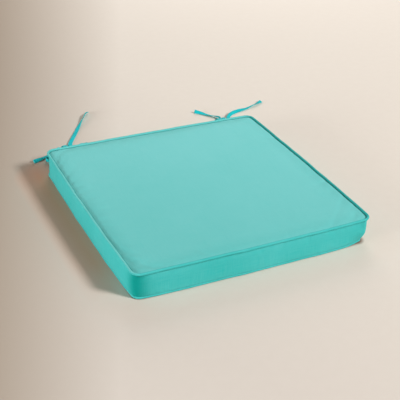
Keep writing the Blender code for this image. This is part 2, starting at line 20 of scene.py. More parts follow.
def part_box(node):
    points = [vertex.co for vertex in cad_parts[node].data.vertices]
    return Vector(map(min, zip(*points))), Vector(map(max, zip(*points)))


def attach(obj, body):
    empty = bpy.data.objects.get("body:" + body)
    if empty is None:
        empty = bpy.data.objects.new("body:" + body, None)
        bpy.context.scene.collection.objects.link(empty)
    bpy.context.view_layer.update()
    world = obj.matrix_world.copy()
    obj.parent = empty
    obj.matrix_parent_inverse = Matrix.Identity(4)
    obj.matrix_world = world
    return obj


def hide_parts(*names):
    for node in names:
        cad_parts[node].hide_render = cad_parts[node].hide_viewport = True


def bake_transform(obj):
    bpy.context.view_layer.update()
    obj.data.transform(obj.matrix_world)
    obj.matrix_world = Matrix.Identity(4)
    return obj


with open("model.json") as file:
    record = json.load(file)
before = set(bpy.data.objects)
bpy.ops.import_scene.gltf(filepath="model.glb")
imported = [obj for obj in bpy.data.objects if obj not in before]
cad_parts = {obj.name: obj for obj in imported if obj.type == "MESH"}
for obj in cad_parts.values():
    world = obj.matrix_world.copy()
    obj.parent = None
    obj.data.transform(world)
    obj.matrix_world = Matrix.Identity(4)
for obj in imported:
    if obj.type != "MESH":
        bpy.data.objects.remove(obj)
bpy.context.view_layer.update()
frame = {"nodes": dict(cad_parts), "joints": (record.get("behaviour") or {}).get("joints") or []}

# %% [markdown]
# ## Sizes that everything shares
#
# Cloth pieces meet at seams, so they have to agree about where the seams are. The frame's own nodes give
# those places: the boxing band gives the seam line, and the two piping covers give the seam heights.

# %% Read the seam line from the frame
top_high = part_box("top_welt_cover")[1]

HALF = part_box("boxing_band")[1].x
WELT_RADIUS = 0.0024
WELT_OUTSET = top_high.x - WELT_RADIUS - HALF
TOP_SEAM_Z = top_high.z - WELT_RADIUS
BOTTOM_SEAM_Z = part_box("bottom_welt_cover")[0].z + WELT_RADIUS
ZIP_Z = (TOP_SEAM_Z + BOTTOM_SEAM_Z) / 2
OPENING_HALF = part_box("zipper_tape_upper")[1].x
CLOTH = 0.0008
print("seam line half width", round(HALF, 4), "seams at", round(TOP_SEAM_Z, 5), round(BOTTOM_SEAM_Z, 5))

# %% [markdown]
# ## The camera
#
# A long lens from the front left, a little above the pad, keeps its edges nearly parallel. The camera is
# placed by azimuth, elevation and distance from a point on the floor, then shifted a touch in its own
# plane and rolled, as a hand-held camera would be. Colours are shown plainly, without a film curve: a
# film curve greys a strong dye, and this dye has to stay strong.

# %% Place the camera
CAMERA_AZIMUTH = math.radians(-27.14)
CAMERA_ELEVATION = math.radians(30.73)
CAMERA_ROLL = math.radians(2.64)
CAMERA_DISTANCE = 1.616
CAMERA_RISE = 0.0115
CAMERA_SHIFT = 0.0006
LENS_MM = 80.33
FILM_WIDTH_MM = 36.0


def place_camera():
    away = Vector((math.sin(CAMERA_AZIMUTH), -math.cos(CAMERA_AZIMUTH), math.tan(CAMERA_ELEVATION)))
    away.normalize()
    level = Vector((0, 0, 1)).cross(away).normalized()
    upright = away.cross(level)
    right = level * math.cos(CAMERA_ROLL) + upright * math.sin(CAMERA_ROLL)
    up = away.cross(right)
    lens = bpy.data.cameras.new("camera")
    lens.lens = LENS_MM
    lens.sensor_width = FILM_WIDTH_MM
    camera = bpy.data.objects.new("camera", lens)
    bpy.context.scene.collection.objects.link(camera)
    spot = away * CAMERA_DISTANCE + up * CAMERA_RISE + right * CAMERA_SHIFT
    axes = Matrix((right, up, away)).transposed().to_4x4()
    camera.matrix_world = Matrix.Translation(spot) @ axes
    bpy.context.scene.camera = camera
    return camera


camera = place_camera()
bpy.context.scene.view_settings.view_transform = "Standard"
print("camera at", [round(v, 3) for v in camera.matrix_world.translation])

# %% [markdown]
# ## Helpers for cloth
#
# Every strip or panel of cloth here is a grid of points with a flat coordinate stored on each point: the
# distance along and across the cloth before it was sewn. A material that reads that coordinate weaves
# its threads along the cloth, whatever shape the cloth takes.

# %% Grid and sweep helpers


def new_object(name, vertices, faces, flat=None, smooth=True):
    """A mesh object, with the flat cloth coordinate of each point if it has one."""
    mesh = bpy.data.meshes.new(name)
    mesh.from_pydata([tuple(v) for v in vertices], [], faces)
    if flat is not None:
        layer = mesh.attributes.new("cloth", "FLOAT_VECTOR", "POINT")
        layer.data.foreach_set("vector", np.asarray(flat, np.float32).ravel())
    mesh.validate()
    obj = bpy.data.objects.new(name, mesh)
    bpy.context.scene.collection.objects.link(obj)
    if smooth:
        mesh.shade_smooth()
    return obj


def grid_faces(rows, columns, wrap_rows=False, wrap_columns=False, flip=False):
    faces = []
    for i in range(rows if wrap_rows else rows - 1):
        for j in range(columns if wrap_columns else columns - 1):
            a, b = i * columns + j, i * columns + (j + 1) % columns
            c, d = ((i + 1) % rows) * columns + (j + 1) % columns, ((i + 1) % rows) * columns + j
            faces.append((a, d, c, b) if flip else (a, b, c, d))
    return faces


def settle(obj):
    """Replaces an object's mesh by the one that its modifiers make."""
    bpy.context.view_layer.update()
    graph = bpy.context.evaluated_depsgraph_get()
    mesh = bpy.data.meshes.new_from_object(obj.evaluated_get(graph), depsgraph=graph)
    obj.modifiers.clear()
    obj.data = mesh
    return obj


def thicken(obj, amount, offset):
    """Gives a sheet its cloth thickness. Offset -1 grows it behind its face, and 1 in front."""
    shell = obj.modifiers.new("cloth_thickness", "SOLIDIFY")
    shell.thickness = amount
    shell.offset = offset
    return settle(obj)


def subdivide(obj):
    finer = obj.modifiers.new("finer", "SUBSURF")
    finer.levels = finer.render_levels = 1
    return settle(obj)


def sweep(name, centres, sides, ups, section, closed):
    """Carries a closed section along a line. Section points are (to the side, up)."""
    centres, sides, ups = (np.asarray(v, float) for v in (centres, sides, ups))
    section = np.asarray(section, float)
    if section.ndim == 2:
        section = np.broadcast_to(section, (len(centres), *section.shape))
    rings = centres[:, None] + sides[:, None] * section[..., :1] + ups[:, None] * section[..., 1:2]
    steps = np.linalg.norm(np.diff(centres, axis=0), axis=1)
    along = np.concatenate([[0], np.cumsum(steps)])
    round_steps = np.linalg.norm(np.diff(section, axis=1), axis=2)
    across = np.concatenate([np.zeros((len(section), 1)), np.cumsum(round_steps, axis=1)], axis=1)
    flat = np.stack([np.broadcast_to(along[:, None], across.shape), across, across * 0], axis=-1)
    rows, columns = rings.shape[:2]
    faces = grid_faces(rows, columns, wrap_rows=closed, wrap_columns=True)
    if not closed:
        faces.append(tuple(range(columns)))
        faces.append(tuple(range((rows - 1) * columns, rows * columns))[::-1])
    return outward(new_object(name, rings.reshape(-1, 3), faces, flat.reshape(-1, 3)))


def outward(obj):
    """Turns a closed mesh's faces outwards."""
    work = bmesh.new()
    work.from_mesh(obj.data)
    bmesh.ops.recalc_face_normals(work, faces=work.faces)
    work.to_mesh(obj.data)
    work.free()
    return obj


def mark(obj, name, values):
    """Stores a value on each point, for a material to read."""
    layer = obj.data.attributes.new(name, "FLOAT", "POINT")
    layer.data.foreach_set("value", np.asarray(values, np.float32).ravel())


def finish_piece(obj, material, body=None, nodes=()):
    """Dresses a piece, and says what it stands for and rides on."""
    obj.data.materials.clear()
    obj.data.materials.append(material)
    if nodes:
        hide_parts(*nodes)
    if body:
        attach(obj, body)
    return obj


# %% [markdown]
# ## Node helpers
#
# The materials are built from nodes by script. A small wrapper adds a node, sets its values and joins
# its inputs, so that each finish below reads as a short recipe.

# %% Node helpers


class Recipe:
    """Builds one material's nodes."""

    def __init__(self, name):
        self.material = bpy.data.materials.new(name)
        self.material.use_nodes = True
        self.tree = self.material.node_tree
        self.shader = self.tree.nodes["Principled BSDF"]

    def add(self, kind, inputs=(), **settings):
        node = self.tree.nodes.new(kind)
        for key, value in settings.items():
            setattr(node, key, value)
        for key, value in dict(inputs).items():
            self.feed(node.inputs[key], value)
        return node

    def feed(self, socket, value):
        if isinstance(value, bpy.types.NodeSocket):
            self.tree.links.new(value, socket)
        elif isinstance(value, bpy.types.Node):
            self.tree.links.new(value.outputs[0], socket)
        else:
            socket.default_value = value

    def math(self, operation, *values, clamp=False):
        return self.add(
            "ShaderNodeMath", dict(enumerate(values)), operation=operation, use_clamp=clamp
        )

    def mix(self, share, first, second):
        """Mixes two colours."""
        node = self.add("ShaderNodeMix", data_type="RGBA")
        self.feed(node.inputs[0], share)
        self.feed(node.inputs[6], first)
        self.feed(node.inputs[7], second)
        return node.outputs[2]

    def noise(self, where, scale, detail=3.0, roughness=0.55):
        return self.add(
            "ShaderNodeTexNoise",
            {"Vector": where, "Scale": scale, "Detail": detail, "Roughness": roughness},
        ).outputs[0]

    def stretched(self, where, scale):
        return self.add("ShaderNodeMapping", {"Vector": where, "Scale": scale}).outputs[0]

    def ramp(self, value, low, high, to_low=0.0, to_high=1.0):
        return self.add(
            "ShaderNodeMapRange",
            {"Value": value, "From Min": low, "From Max": high, "To Min": to_low, "To Max": to_high},
        ).outputs[0]

    def bump(self, height, strength, distance, **inputs):
        inputs.update(Height=height, Strength=strength, Distance=distance)
        return self.add("ShaderNodeBump", inputs).outputs[0]

    def set(self, **values):
        for key, value in values.items():
            self.feed(self.shader.inputs[key.replace("_", " ")], value)
        return self


def rgb(red, green, blue):
    return (red, green, blue, 1.0)


# %% [markdown]
# ## Canvas
#
# The cover is cotton canvas in a plain weave: each thread goes over one and under the next. Two sine
# waves, one along each direction of the cloth, give the round threads, and the sign of their product
# says which thread lies on top. Thicker threads, called slubs, are noise drawn out along one direction.
# The dye is a little uneven and rubbed seams wear paler; the same paler colour also serves as painted
# light on parts of the piping. Shade is painted into the colour too: a piece's shade mark colours it
# towards a deep painted shade colour, and thread height goes to bump and also to colour, as painted shade
# in the pits between threads.

# %% Make the canvas
THREAD = 0.00065
TIE_THREAD = 0.0005
SEWING_THREAD = 0.0003
SLUB_LENGTH, SLUB_CLOSENESS = 30, 900
SLUB_RELIEF = 0.5
SLUB_PALENESS = 0.16
THREAD_BUMP, THREAD_RELIEF = 0.25, 0.0002
CREASE_BUMP, CREASE_RELIEF = 0.25, 0.0025
# Colour of the painted shade: valleys, grooves, corners and shaded sides are coloured towards it.
PAINTED_SHADE_COLOUR = rgb(0.0, 0.33, 0.30)


def woven(name, colour, deep_dye_and_pit_shade, worn_and_lit, thread=THREAD, gloss=0.15):
    r = Recipe(name)
    cloth = r.add("ShaderNodeAttribute", attribute_name="cloth").outputs["Vector"]
    place = r.add("ShaderNodeTexCoord").outputs["Object"]
    parts = r.add("ShaderNodeSeparateXYZ", {"Vector": cloth})
    wave_x = r.math("SINE", r.math("MULTIPLY", parts.outputs[0], math.pi / thread))
    wave_y = r.math("SINE", r.math("MULTIPLY", parts.outputs[1], math.pi / thread))
    over = r.math("MULTIPLY_ADD", r.math("MULTIPLY", wave_x, wave_y), 2.5, 0.5, clamp=True)
    warp = r.math("ABSOLUTE", wave_x)
    weft = r.math("ABSOLUTE", wave_y)
    height = r.add("ShaderNodeMix", {0: over}, data_type="FLOAT")
    r.feed(height.inputs[2], warp.outputs[0])
    r.feed(height.inputs[3], weft.outputs[0])
    height = height.outputs[0]
    slub_x = r.noise(r.stretched(cloth, (SLUB_LENGTH, SLUB_CLOSENESS, 1)), 1.0, 2.0)
    slub_y = r.noise(r.stretched(cloth, (SLUB_CLOSENESS, SLUB_LENGTH, 1)), 1.0, 2.0)
    slubs = r.math("ADD", slub_x, slub_y).outputs[0]
    blotch = r.noise(place, 9.0, 4.0)
    fine = r.noise(place, 700.0, 3.0)
    dye = r.mix(r.ramp(blotch, 0.3, 0.7), deep_dye_and_pit_shade, colour)
    dye = r.mix(r.ramp(slubs, 0.75, 1.25, 0.0, SLUB_PALENESS), dye, worn_and_lit)
    # Painted shade: the pits between the threads are coloured deeper.
    painted_pit_shade = r.ramp(height, 0.0, 0.8, 0.12, 0.0)
    dye = r.mix(painted_pit_shade, dye, deep_dye_and_pit_shade)
    # The wear mark is real wear at seams, folds and edges, and painted light on the piping: a painted
    # highlight on the left crown and paler painted light along the rear.
    wear_and_painted_light = r.add("ShaderNodeAttribute", attribute_name="wear_and_painted_light").outputs["Fac"]
    rubbed = r.math("MULTIPLY", wear_and_painted_light, r.ramp(fine, 0.3, 0.7, 0.5, 1.0)).outputs[0]
    dye = r.mix(rubbed, dye, worn_and_lit)
    # Painted shade: the shade mark colours the cloth towards the painted shade colour.
    shade = r.add("ShaderNodeAttribute", attribute_name="shade").outputs["Fac"]
    dye = r.mix(shade, dye, PAINTED_SHADE_COLOUR)
    relief = r.math("ADD", height, r.math("MULTIPLY", slubs, SLUB_RELIEF)).outputs[0]
    threads = r.bump(relief, THREAD_BUMP, THREAD_RELIEF)
    creases = r.bump(r.noise(place, 26.0, 4.0), CREASE_BUMP, CREASE_RELIEF, Normal=threads)
    r.set(Base_Color=dye, Roughness=r.ramp(slubs, 0.7, 1.3, 0.95, 0.78), Normal=creases)
    r.shader.inputs["Sheen Weight"].default_value = 0.03
    r.shader.inputs["Sheen Roughness"].default_value = 0.45
    r.shader.inputs["Sheen Tint"].default_value = rgb(0.75, 1.0, 0.98)
    r.shader.inputs["Specular IOR Level"].default_value = gloss
    return r.material


canvas = woven("canvas", rgb(0.062, 0.54, 0.535), rgb(0.030, 0.49, 0.475), rgb(0.26, 0.71, 0.69))
# The top panel's canvas is coloured paler than the rest as a painted sheen, for the light that the top
# catches; its higher gloss is real.
sheen_painted_canvas = woven(
    "sheen_painted_canvas", rgb(0.200, 0.72, 0.725), rgb(0.180, 0.70, 0.70), rgb(0.33, 0.79, 0.79), gloss=0.5
)
tie_canvas = woven(
    "tie_canvas", rgb(0.004, 0.57, 0.62), rgb(0.0, 0.48, 0.53), rgb(0.09, 0.68, 0.72), TIE_THREAD
)
thread_finish = woven(
    "sewing_thread", rgb(0.004, 0.25, 0.23), rgb(0.0, 0.2, 0.18), rgb(0.03, 0.34, 0.31), SEWING_THREAD
)
print("thread spacing", THREAD * 1000, "mm")

# %% [markdown]
# ## The seam line
#
# A stuffed cover never keeps dead straight edges: the filling pushes each side out by a few millimetres
# between the corners, and the seam wanders by a fraction of a millimetre where it was fed by hand. One
# function gives the seam line, so that the panels, the band and the piping all follow it. The rear side
# stays straighter, because the zipper holds it.

# %% Draw the seam line
CORNER = 0.0135
SIDE_BOW = 0.0024
REAR_BOW = 0.0012
WANDER = 0.00028
WANDER_WAVES = ((11, 0.7, 1.0), (19, 2.1, 0.7), (31, 4.0, 0.5))
SEAM_STEPS = 440
SIDE_TUCK = 0.0010
CORNER_TUCK = 0.0085
CORNER_TUCK_REACH = 0.030
LEFT_TUCK_SHARE = 0.30
REAR_HOLD = 0.8


def bowed(x, y):
    """How far the seam stands out at a place on the straight outline, and which way."""
    flat_half = HALF - CORNER
    if abs(x) >= abs(y):
        share = max(0.0, 1 - (y / flat_half) ** 2)
        return Vector((math.copysign(SIDE_BOW * share, x), 0))
    share = max(0.0, 1 - (x / flat_half) ** 2)
    return Vector((0, math.copysign((REAR_BOW if y > 0 else SIDE_BOW) * share, y)))


def wander(angle):
    """A small, slow wave along the seam, by the angle round the pad. Waves are (count, phase, share)."""
    return WANDER * sum(share * math.sin(count * angle + phase) for count, phase, share in WANDER_WAVES)


FLAT_SIDE = 2 * (HALF - CORNER)
CORNER_ARC = math.pi / 2 * CORNER
SEAM_LENGTH = 4 * (FLAT_SIDE + CORNER_ARC)


def outline_at(s):
    """A point of the plain rounded square and its outward direction, by the distance travelled
    anticlockwise from the middle of the rear side."""
    s = (s + FLAT_SIDE / 2) % SEAM_LENGTH
    side, rest = divmod(s, FLAT_SIDE + CORNER_ARC)
    if rest <= FLAT_SIDE:
        x, y, nx, ny = FLAT_SIDE / 2 - rest, HALF, 0.0, 1.0
    else:
        a = (rest - FLAT_SIDE) / CORNER
        nx, ny = -math.sin(a), math.cos(a)
        x, y = -FLAT_SIDE / 2 + CORNER * nx, FLAT_SIDE / 2 + CORNER * ny
    c, d = math.cos(math.pi / 2 * side), math.sin(math.pi / 2 * side)
    return x * c - y * d, x * d + y * c, nx * c - ny * d, nx * d + ny * c


def seam_at(travelled, inset=0.0):
    """Plan points of the bowed seam line and their outward directions."""
    places, outs = [], []
    for s in travelled:
        x, y, nx, ny = outline_at(s)
        shift = bowed(x, y)
        drift = wander(math.atan2(y, x)) - inset
        places.append((x + shift.x + nx * drift, y + shift.y + ny * drift))
        outs.append((nx, ny))
    return np.array(places), np.array(outs)


def tucked(plan, outs):
    """The bottom seam: drawn in under the pad at the front and sides, most of all at the front corners."""
    x, y = plan[..., 0], plan[..., 1]
    free = 1 - REAR_HOLD * np.clip(outs[..., 1], 0, 1)
    corner = np.exp(-(np.hypot(np.abs(x) - HALF, y + HALF) / CORNER_TUCK_REACH) ** 2)
    amount = free * (SIDE_TUCK + CORNER_TUCK * corner * np.where(x > 0, 1.0, LEFT_TUCK_SHARE))
    return plan - outs * amount[..., None]


def round_seam(steps=SEAM_STEPS, inset=0.0):
    """The whole seam line at even steps."""
    return seam_at([SEAM_LENGTH * k / steps for k in range(steps)], inset)


print("seam line reaches", np.abs(round_seam()[0]).max(axis=0).round(4))

# %% [markdown]
# ## Top and bottom panels
#
# Each panel is one square of canvas, sewn down all round and pushed up by batting over foam, so it is
# nearly flat in the middle and falls away in the last three centimetres before the piping. A dome
# modelled by hand looks too even, so the panel is a flat grid, pinned at the seam, blown up by cloth
# simulation with a little spare cloth. The spare cloth makes the small puckers beside a real seam. The
# foam stops the swell, which a smooth limit on the height stands for.

# %% Lay out a panel grid
PANEL_CELLS = 96
PANEL_TUCK = 0.0010
RELAX_ROUNDS = 250


def panel_grid(cells=PANEL_CELLS):
    """A square grid of plan points whose rim lies on the seam line."""
    rim, _ = round_seam(4 * cells, PANEL_TUCK)
    rim = np.roll(rim, cells // 2, axis=0)
    size = cells + 1
    grid = np.zeros((size, size, 2))
    ticks = np.linspace(-1, 1, size)
    grid[..., 0], grid[..., 1] = np.meshgrid(ticks * HALF, ticks * HALF)
    grid[-1, ::-1] = rim[: cells + 1]
    grid[::-1, 0] = rim[cells : 2 * cells + 1]
    grid[0, :] = rim[2 * cells : 3 * cells + 1]
    grid[:-1, -1] = rim[3 * cells :]
    for _ in range(RELAX_ROUNDS):
        neighbours = grid[:-2, 1:-1] + grid[2:, 1:-1] + grid[1:-1, :-2] + grid[1:-1, 2:]
        grid[1:-1, 1:-1] = neighbours / 4
    return grid


panel_plan = panel_grid()
print("panel grid", panel_plan.shape, "cell", round(2 * HALF / PANEL_CELLS * 1000, 2), "mm")

# %% Blow up a pinned sheet
PANEL_PRESSURE = 4.0
PANEL_SPARE = 0.012
SWELL_FRAMES = 20


def simulate_sheet(points, faces, pinned, pressure, spare):
    """Cloth simulation of one sheet with pinned points. Returns where its points end."""
    sheet = new_object("working_sheet", points, faces)
    pins = sheet.vertex_groups.new(name="pins")
    pins.add([int(k) for k in pinned], 1.0, "ADD")
    cloth = sheet.modifiers.new("cloth", "CLOTH")
    cloth.settings.vertex_group_mass = "pins"
    cloth.settings.quality = 6
    cloth.settings.mass = 0.25
    cloth.settings.tension_stiffness = 12
    cloth.settings.compression_stiffness = 12
    cloth.settings.shear_stiffness = 4
    cloth.settings.bending_stiffness = 0.6
    cloth.settings.air_damping = 3
    cloth.settings.use_pressure = True
    cloth.settings.uniform_pressure_force = pressure
    cloth.settings.shrink_min = -spare
    cloth.settings.shrink_max = -spare
    cloth.settings.effector_weights.gravity = 0
    cloth.collision_settings.use_collision = False
    scene = bpy.context.scene
    for frame_number in range(1, SWELL_FRAMES + 1):
        scene.frame_set(frame_number)
    graph = bpy.context.evaluated_depsgraph_get()
    mesh = sheet.evaluated_get(graph).to_mesh()
    ended = np.zeros(len(points) * 3)
    mesh.vertices.foreach_get("co", ended)
    sheet.evaluated_get(graph).to_mesh_clear()
    bpy.data.objects.remove(sheet)
    scene.frame_set(1)
    return ended.reshape(-1, 3)


def rim_indices(rows, columns):
    inner = np.zeros((rows, columns), bool)
    inner[1:-1, 1:-1] = True
    return np.flatnonzero(~inner)


def swell_of(plan):
    """How high the sheet rises at each grid point, and how far it slides sideways."""
    rows, columns = plan.shape[:2]
    flat = np.concatenate([plan, np.zeros((rows, columns, 1))], axis=-1).reshape(-1, 3)
    ended = simulate_sheet(
        flat, grid_faces(rows, columns), rim_indices(rows, columns), PANEL_PRESSURE, PANEL_SPARE
    )
    moved = (ended - flat).reshape(rows, columns, 3)
    return moved[..., :2], moved[..., 2]


panel_slide, panel_rise = swell_of(panel_plan)
print("sheet rises up to", round(float(panel_rise.max()) * 1000, 1), "mm")

# %% [markdown]
# The simulated height goes through a limit: near the seam the cloth keeps the height that it found, and
# further in it flattens against the batting. The same swell serves the underside, where the floor stops
# it much sooner.

# %% Build the panels
TOP_SWELL = 0.0046
BOTTOM_SWELL = 0.0012
SEAM_DIP = 0.0012
SEAM_WEAR, WEAR_WIDTH = 0.12, 0.004
# Painted shade on the panels: the shade mark colours them deeper in the valley inside the seam, and more
# towards the front left than the rear right.
VALLEY_SHADE, VALLEY_INSET, VALLEY_WIDTH = 0.10, 0.010, 0.012
MIDDLE_SHADE, SHADE_SLOPE = 0.15, 0.58
DRAW_IN, DRAW_IN_POWER = 1.15, 6


def panel_surface(seam_z, swell, sign):
    rise = np.maximum(panel_rise, 0)
    height = swell * np.tanh(rise / swell)
    calm = 1 - np.tanh(rise / swell) ** 2
    plan = panel_plan + panel_slide * calm[..., None]
    return np.dstack([plan, seam_z + sign * height])


def make_panel(name, surface, up, nodes, cloth):
    """A panel on its surface: rubbed paler at the seam, with painted shade in the valley and towards the
    front.
    """
    rows, columns = surface.shape[:2]
    flat = np.dstack([panel_plan, np.zeros((rows, columns))])
    obj = new_object(
        name, surface.reshape(-1, 3), grid_faces(rows, columns, flip=not up), flat.reshape(-1, 3)
    )
    edge = HALF - np.abs(panel_plan).max(axis=2)
    mark(obj, "wear_and_painted_light", SEAM_WEAR * np.exp(-edge / WEAR_WIDTH))
    # Painted shade: deeper in the valley inside the seam and towards the front left.
    valley = np.exp(-(((edge - VALLEY_INSET) / VALLEY_WIDTH) ** 2))
    forward = MIDDLE_SHADE - SHADE_SLOPE * (0.4 * panel_plan[..., 0] + 0.9 * panel_plan[..., 1])
    mark(obj, "shade", np.clip(forward + VALLEY_SHADE * valley, 0, 1))
    subdivide(obj)
    thicken(obj, CLOTH, -1)
    return finish_piece(obj, cloth, "pad", nodes)


def draw_in(surface):
    """Brings the bottom panel's rim to the drawn-in seam, and the rest of it in proportion."""
    plan = surface[..., :2]
    reach = np.abs(plan).max(axis=2, keepdims=True) / HALF
    outs = plan / np.maximum(np.linalg.norm(plan, axis=2, keepdims=True), 1e-6)
    rim = plan / np.maximum(reach, 1e-6)
    surface[..., :2] = plan + (tucked(rim, outs) - rim) * DRAW_IN * reach**DRAW_IN_POWER
    return surface


top_surface = panel_surface(TOP_SEAM_Z - SEAM_DIP, TOP_SWELL, 1)
bottom_surface = draw_in(panel_surface(BOTTOM_SEAM_Z - SEAM_DIP, BOTTOM_SWELL, -1))
cover_top = make_panel("cover_top", top_surface, True, ["top_panel"], sheen_painted_canvas)
make_panel("cover_bottom", bottom_surface, False, ["bottom_panel"], canvas)
print("top panel stands at", round(float(top_surface[..., 2].max()), 4))

# %% [markdown]
# ## The boxing band
#
# The band is one long strip of canvas round the front and both sides. Its ends lap a little way along the
# rear, over the zipped strip. It could be a plain extruded wall, but cloth between two sewn edges
# swells between them and puckers along them, so it gets the same treatment as the panels: a sheet pinned
# at its edges and blown up, with its swell limited by the foam. Its foot sags out over the lower piping,
# which hides that piping from above. The zipper's pull slides over the laps, so the swell dies out there.

# %% Build the band
BAND_TUCK = 0.0018
CURL_SHARE, CURL_POWER = 0.42, 1.8
FOOT_FLARE = 0.0020
BAND_SWELL = 0.0015
BAND_ROWS = 13
BAND_COLUMNS = 372
BAND_PRESSURE = 6.0
BAND_SPARE = 0.010
LAP_CALM = 0.030
# Painted shade at the band's corners, deepest at the front left: each entry is a corner's x, y and depth.
CORNER_SHADES = ((-HALF, -HALF, 1.15), (HALF, -HALF, 0.25), (-HALF, HALF, 0.3), (HALF, HALF, 0.3))
CORNER_SHADE_REACH = 0.020


def band_base():
    """The band before it swells: points by row from the bottom, outward directions, distances."""
    travelled = np.linspace(OPENING_HALF, SEAM_LENGTH - OPENING_HALF, BAND_COLUMNS)
    plan, outs = seam_at(travelled)
    low, high = BOTTOM_SEAM_Z + BAND_TUCK, TOP_SEAM_Z - BAND_TUCK
    points = np.zeros((BAND_ROWS, BAND_COLUMNS, 3))
    for i in range(BAND_ROWS):
        share = i / (BAND_ROWS - 1)
        curl = max(0.0, 1 - share / CURL_SHARE) ** CURL_POWER
        flare = FOOT_FLARE * curl * (1 - np.clip(outs[:, 1], 0, 1)) ** 2
        points[i, :, :2] = plan + (tucked(plan, outs) - plan) * curl + outs * flare[:, None]
        points[i, :, 2] = low + (high - low) * share
    return points, outs, travelled


def flatten_laps(points):
    """Holds the laps flat at mid height, where the pull passes."""
    rear = points[..., 1] > HALF
    near = np.abs(points[..., 0]) < OPENING_HALF + LAP_CALM
    share = np.abs(points[..., 2] - ZIP_Z) / (TOP_SEAM_Z - ZIP_Z)
    kept = np.where(rear & near, share**2, 1.0)
    points[..., 1] = np.where(rear & near, HALF + (points[..., 1] - HALF) * kept, points[..., 1])
    return points


band_points, band_outs, band_travel = band_base()
ended = simulate_sheet(
    band_points.reshape(-1, 3),
    grid_faces(BAND_ROWS, BAND_COLUMNS),
    rim_indices(BAND_ROWS, BAND_COLUMNS),
    BAND_PRESSURE,
    BAND_SPARE,
)
moved = (ended - band_points.reshape(-1, 3)).reshape(BAND_ROWS, BAND_COLUMNS, 3)
band_swell = moved[..., 0] * band_outs[:, 0] + moved[..., 1] * band_outs[:, 1]
from_lap = np.minimum(band_travel - OPENING_HALF, SEAM_LENGTH - OPENING_HALF - band_travel)
calm = np.clip((from_lap - LAP_CALM) / LAP_CALM, 0, 1)
band_out = BAND_SWELL * np.tanh(np.maximum(band_swell, -BAND_SWELL) / BAND_SWELL) * calm
band_points[..., :2] += band_outs * band_out[..., None]
band_points = flatten_laps(band_points)

band_flat = np.zeros_like(band_points)
band_flat[..., 0] = band_travel
band_flat[..., 1] = band_points[..., 2]
band = new_object(
    "band", band_points.reshape(-1, 3), grid_faces(BAND_ROWS, BAND_COLUMNS), band_flat.reshape(-1, 3)
)
heights = band_points[..., 2]
from_seam = np.minimum(heights - heights[0, 0], heights[-1, 0] - heights)
# Painted shade: the band is coloured deeper near its corners.
painted_corner_shade = np.zeros(heights.shape)
for x, y, depth in CORNER_SHADES:
    away = np.hypot(band_points[..., 0] - x, band_points[..., 1] - y)
    painted_corner_shade += depth * np.exp(-((away / CORNER_SHADE_REACH) ** 2))
mark(band, "wear_and_painted_light", SEAM_WEAR * np.exp(-from_seam / WEAR_WIDTH))
mark(band, "shade", np.clip(painted_corner_shade, 0, 1))
subdivide(band)
thicken(band, CLOTH, -1)
finish_piece(band, canvas, "pad", ["boxing_band"])
print("band swells up to", round(float(band_out.max()) * 1000, 2), "mm")

# %% [markdown]
# ## Piping
#
# Piping is a soft cord wrapped in a bias-cut strip, caught in the seam. Bias cloth ripples a little on
# the slant as it goes round the cord, so the tube's radius carries a faint slanted wave. A bevelled curve
# would give a perfect pipe; carrying a section along the seam point by point lets each ring be uneven.

# %% Build the piping
WELT_STEPS, WELT_SIDES = 900, 16
RIPPLE = 0.00007
RIPPLE_LENGTH, SLOW_RIPPLE_LENGTH = 0.0061, 0.0143
CROWN_ANGLE = 0.45 * math.pi
# Piping crowns wear a little paler all round. The left and rear shares are painted light: a painted
# highlight on the left crown and paler painted light along the rear piping. The groove and right shares
# are painted shade, inside the piping and along the right side.
CROWN_WEAR, LEFT_PAINTED_HIGHLIGHT, REAR_PAINTED_LIGHT = 0.10, 0.80, 0.5
GROOVE_SHADE, RIGHT_SHADE = 0.35, 0.30


def piping_line(seam_z, drawn_in, steps):
    """The middle of a piping: centres, outward and upward directions, and distances travelled."""
    travelled = np.array([SEAM_LENGTH * k / steps for k in range(steps)])
    plan, outs = seam_at(travelled, -WELT_OUTSET)
    if drawn_in:
        plan = tucked(plan, outs)
    centres = np.column_stack([plan, np.full(steps, seam_z)])
    return centres, np.column_stack([outs, np.zeros(steps)]), np.tile((0, 0, 1), (steps, 1)), travelled


def round_section(radius, angles):
    return np.stack([radius * np.cos(angles), radius * np.sin(angles)], axis=-1)


def welt(name, seam_z, nodes, drawn_in=False):
    centres, outs, ups, travelled = piping_line(seam_z, drawn_in, WELT_STEPS)
    angles = np.linspace(0, 2 * math.pi, WELT_SIDES, endpoint=False)
    s = travelled[:, None]
    waves = np.sin(2 * math.pi * s / RIPPLE_LENGTH + 1.0 * angles + 1.5 * np.sin(s * 60))
    waves += 0.6 * np.sin(2 * math.pi * s / SLOW_RIPPLE_LENGTH - 2.0 * angles + np.sin(s * 37))
    radius = WELT_RADIUS - RIPPLE + RIPPLE * waves
    obj = sweep(name, centres, outs, ups, round_section(radius, angles), True)
    # Painted light and shade: the piping is coloured paler on its left crown and along the rear, and
    # deeper in the groove inside it and along the whole right side.
    crown = np.clip(np.cos(angles - CROWN_ANGLE), 0, 1) ** 4
    left, right, rear = (np.clip(v, 0, 1)[:, None] ** 2 for v in (-outs[:, 0], outs[:, 0], outs[:, 1]))
    rubbed = crown * (CROWN_WEAR + LEFT_PAINTED_HIGHLIGHT * left) + REAR_PAINTED_LIGHT * rear
    mark(obj, "wear_and_painted_light", np.zeros_like(rubbed) if drawn_in else np.clip(rubbed, 0, 1))
    inner = np.clip(-np.cos(angles), 0, 1) ** 1.5
    mark(obj, "shade", np.clip(GROOVE_SHADE * inner * (1 - rear) + RIGHT_SHADE * right, 0, 1))
    return finish_piece(obj, canvas, "pad", nodes)


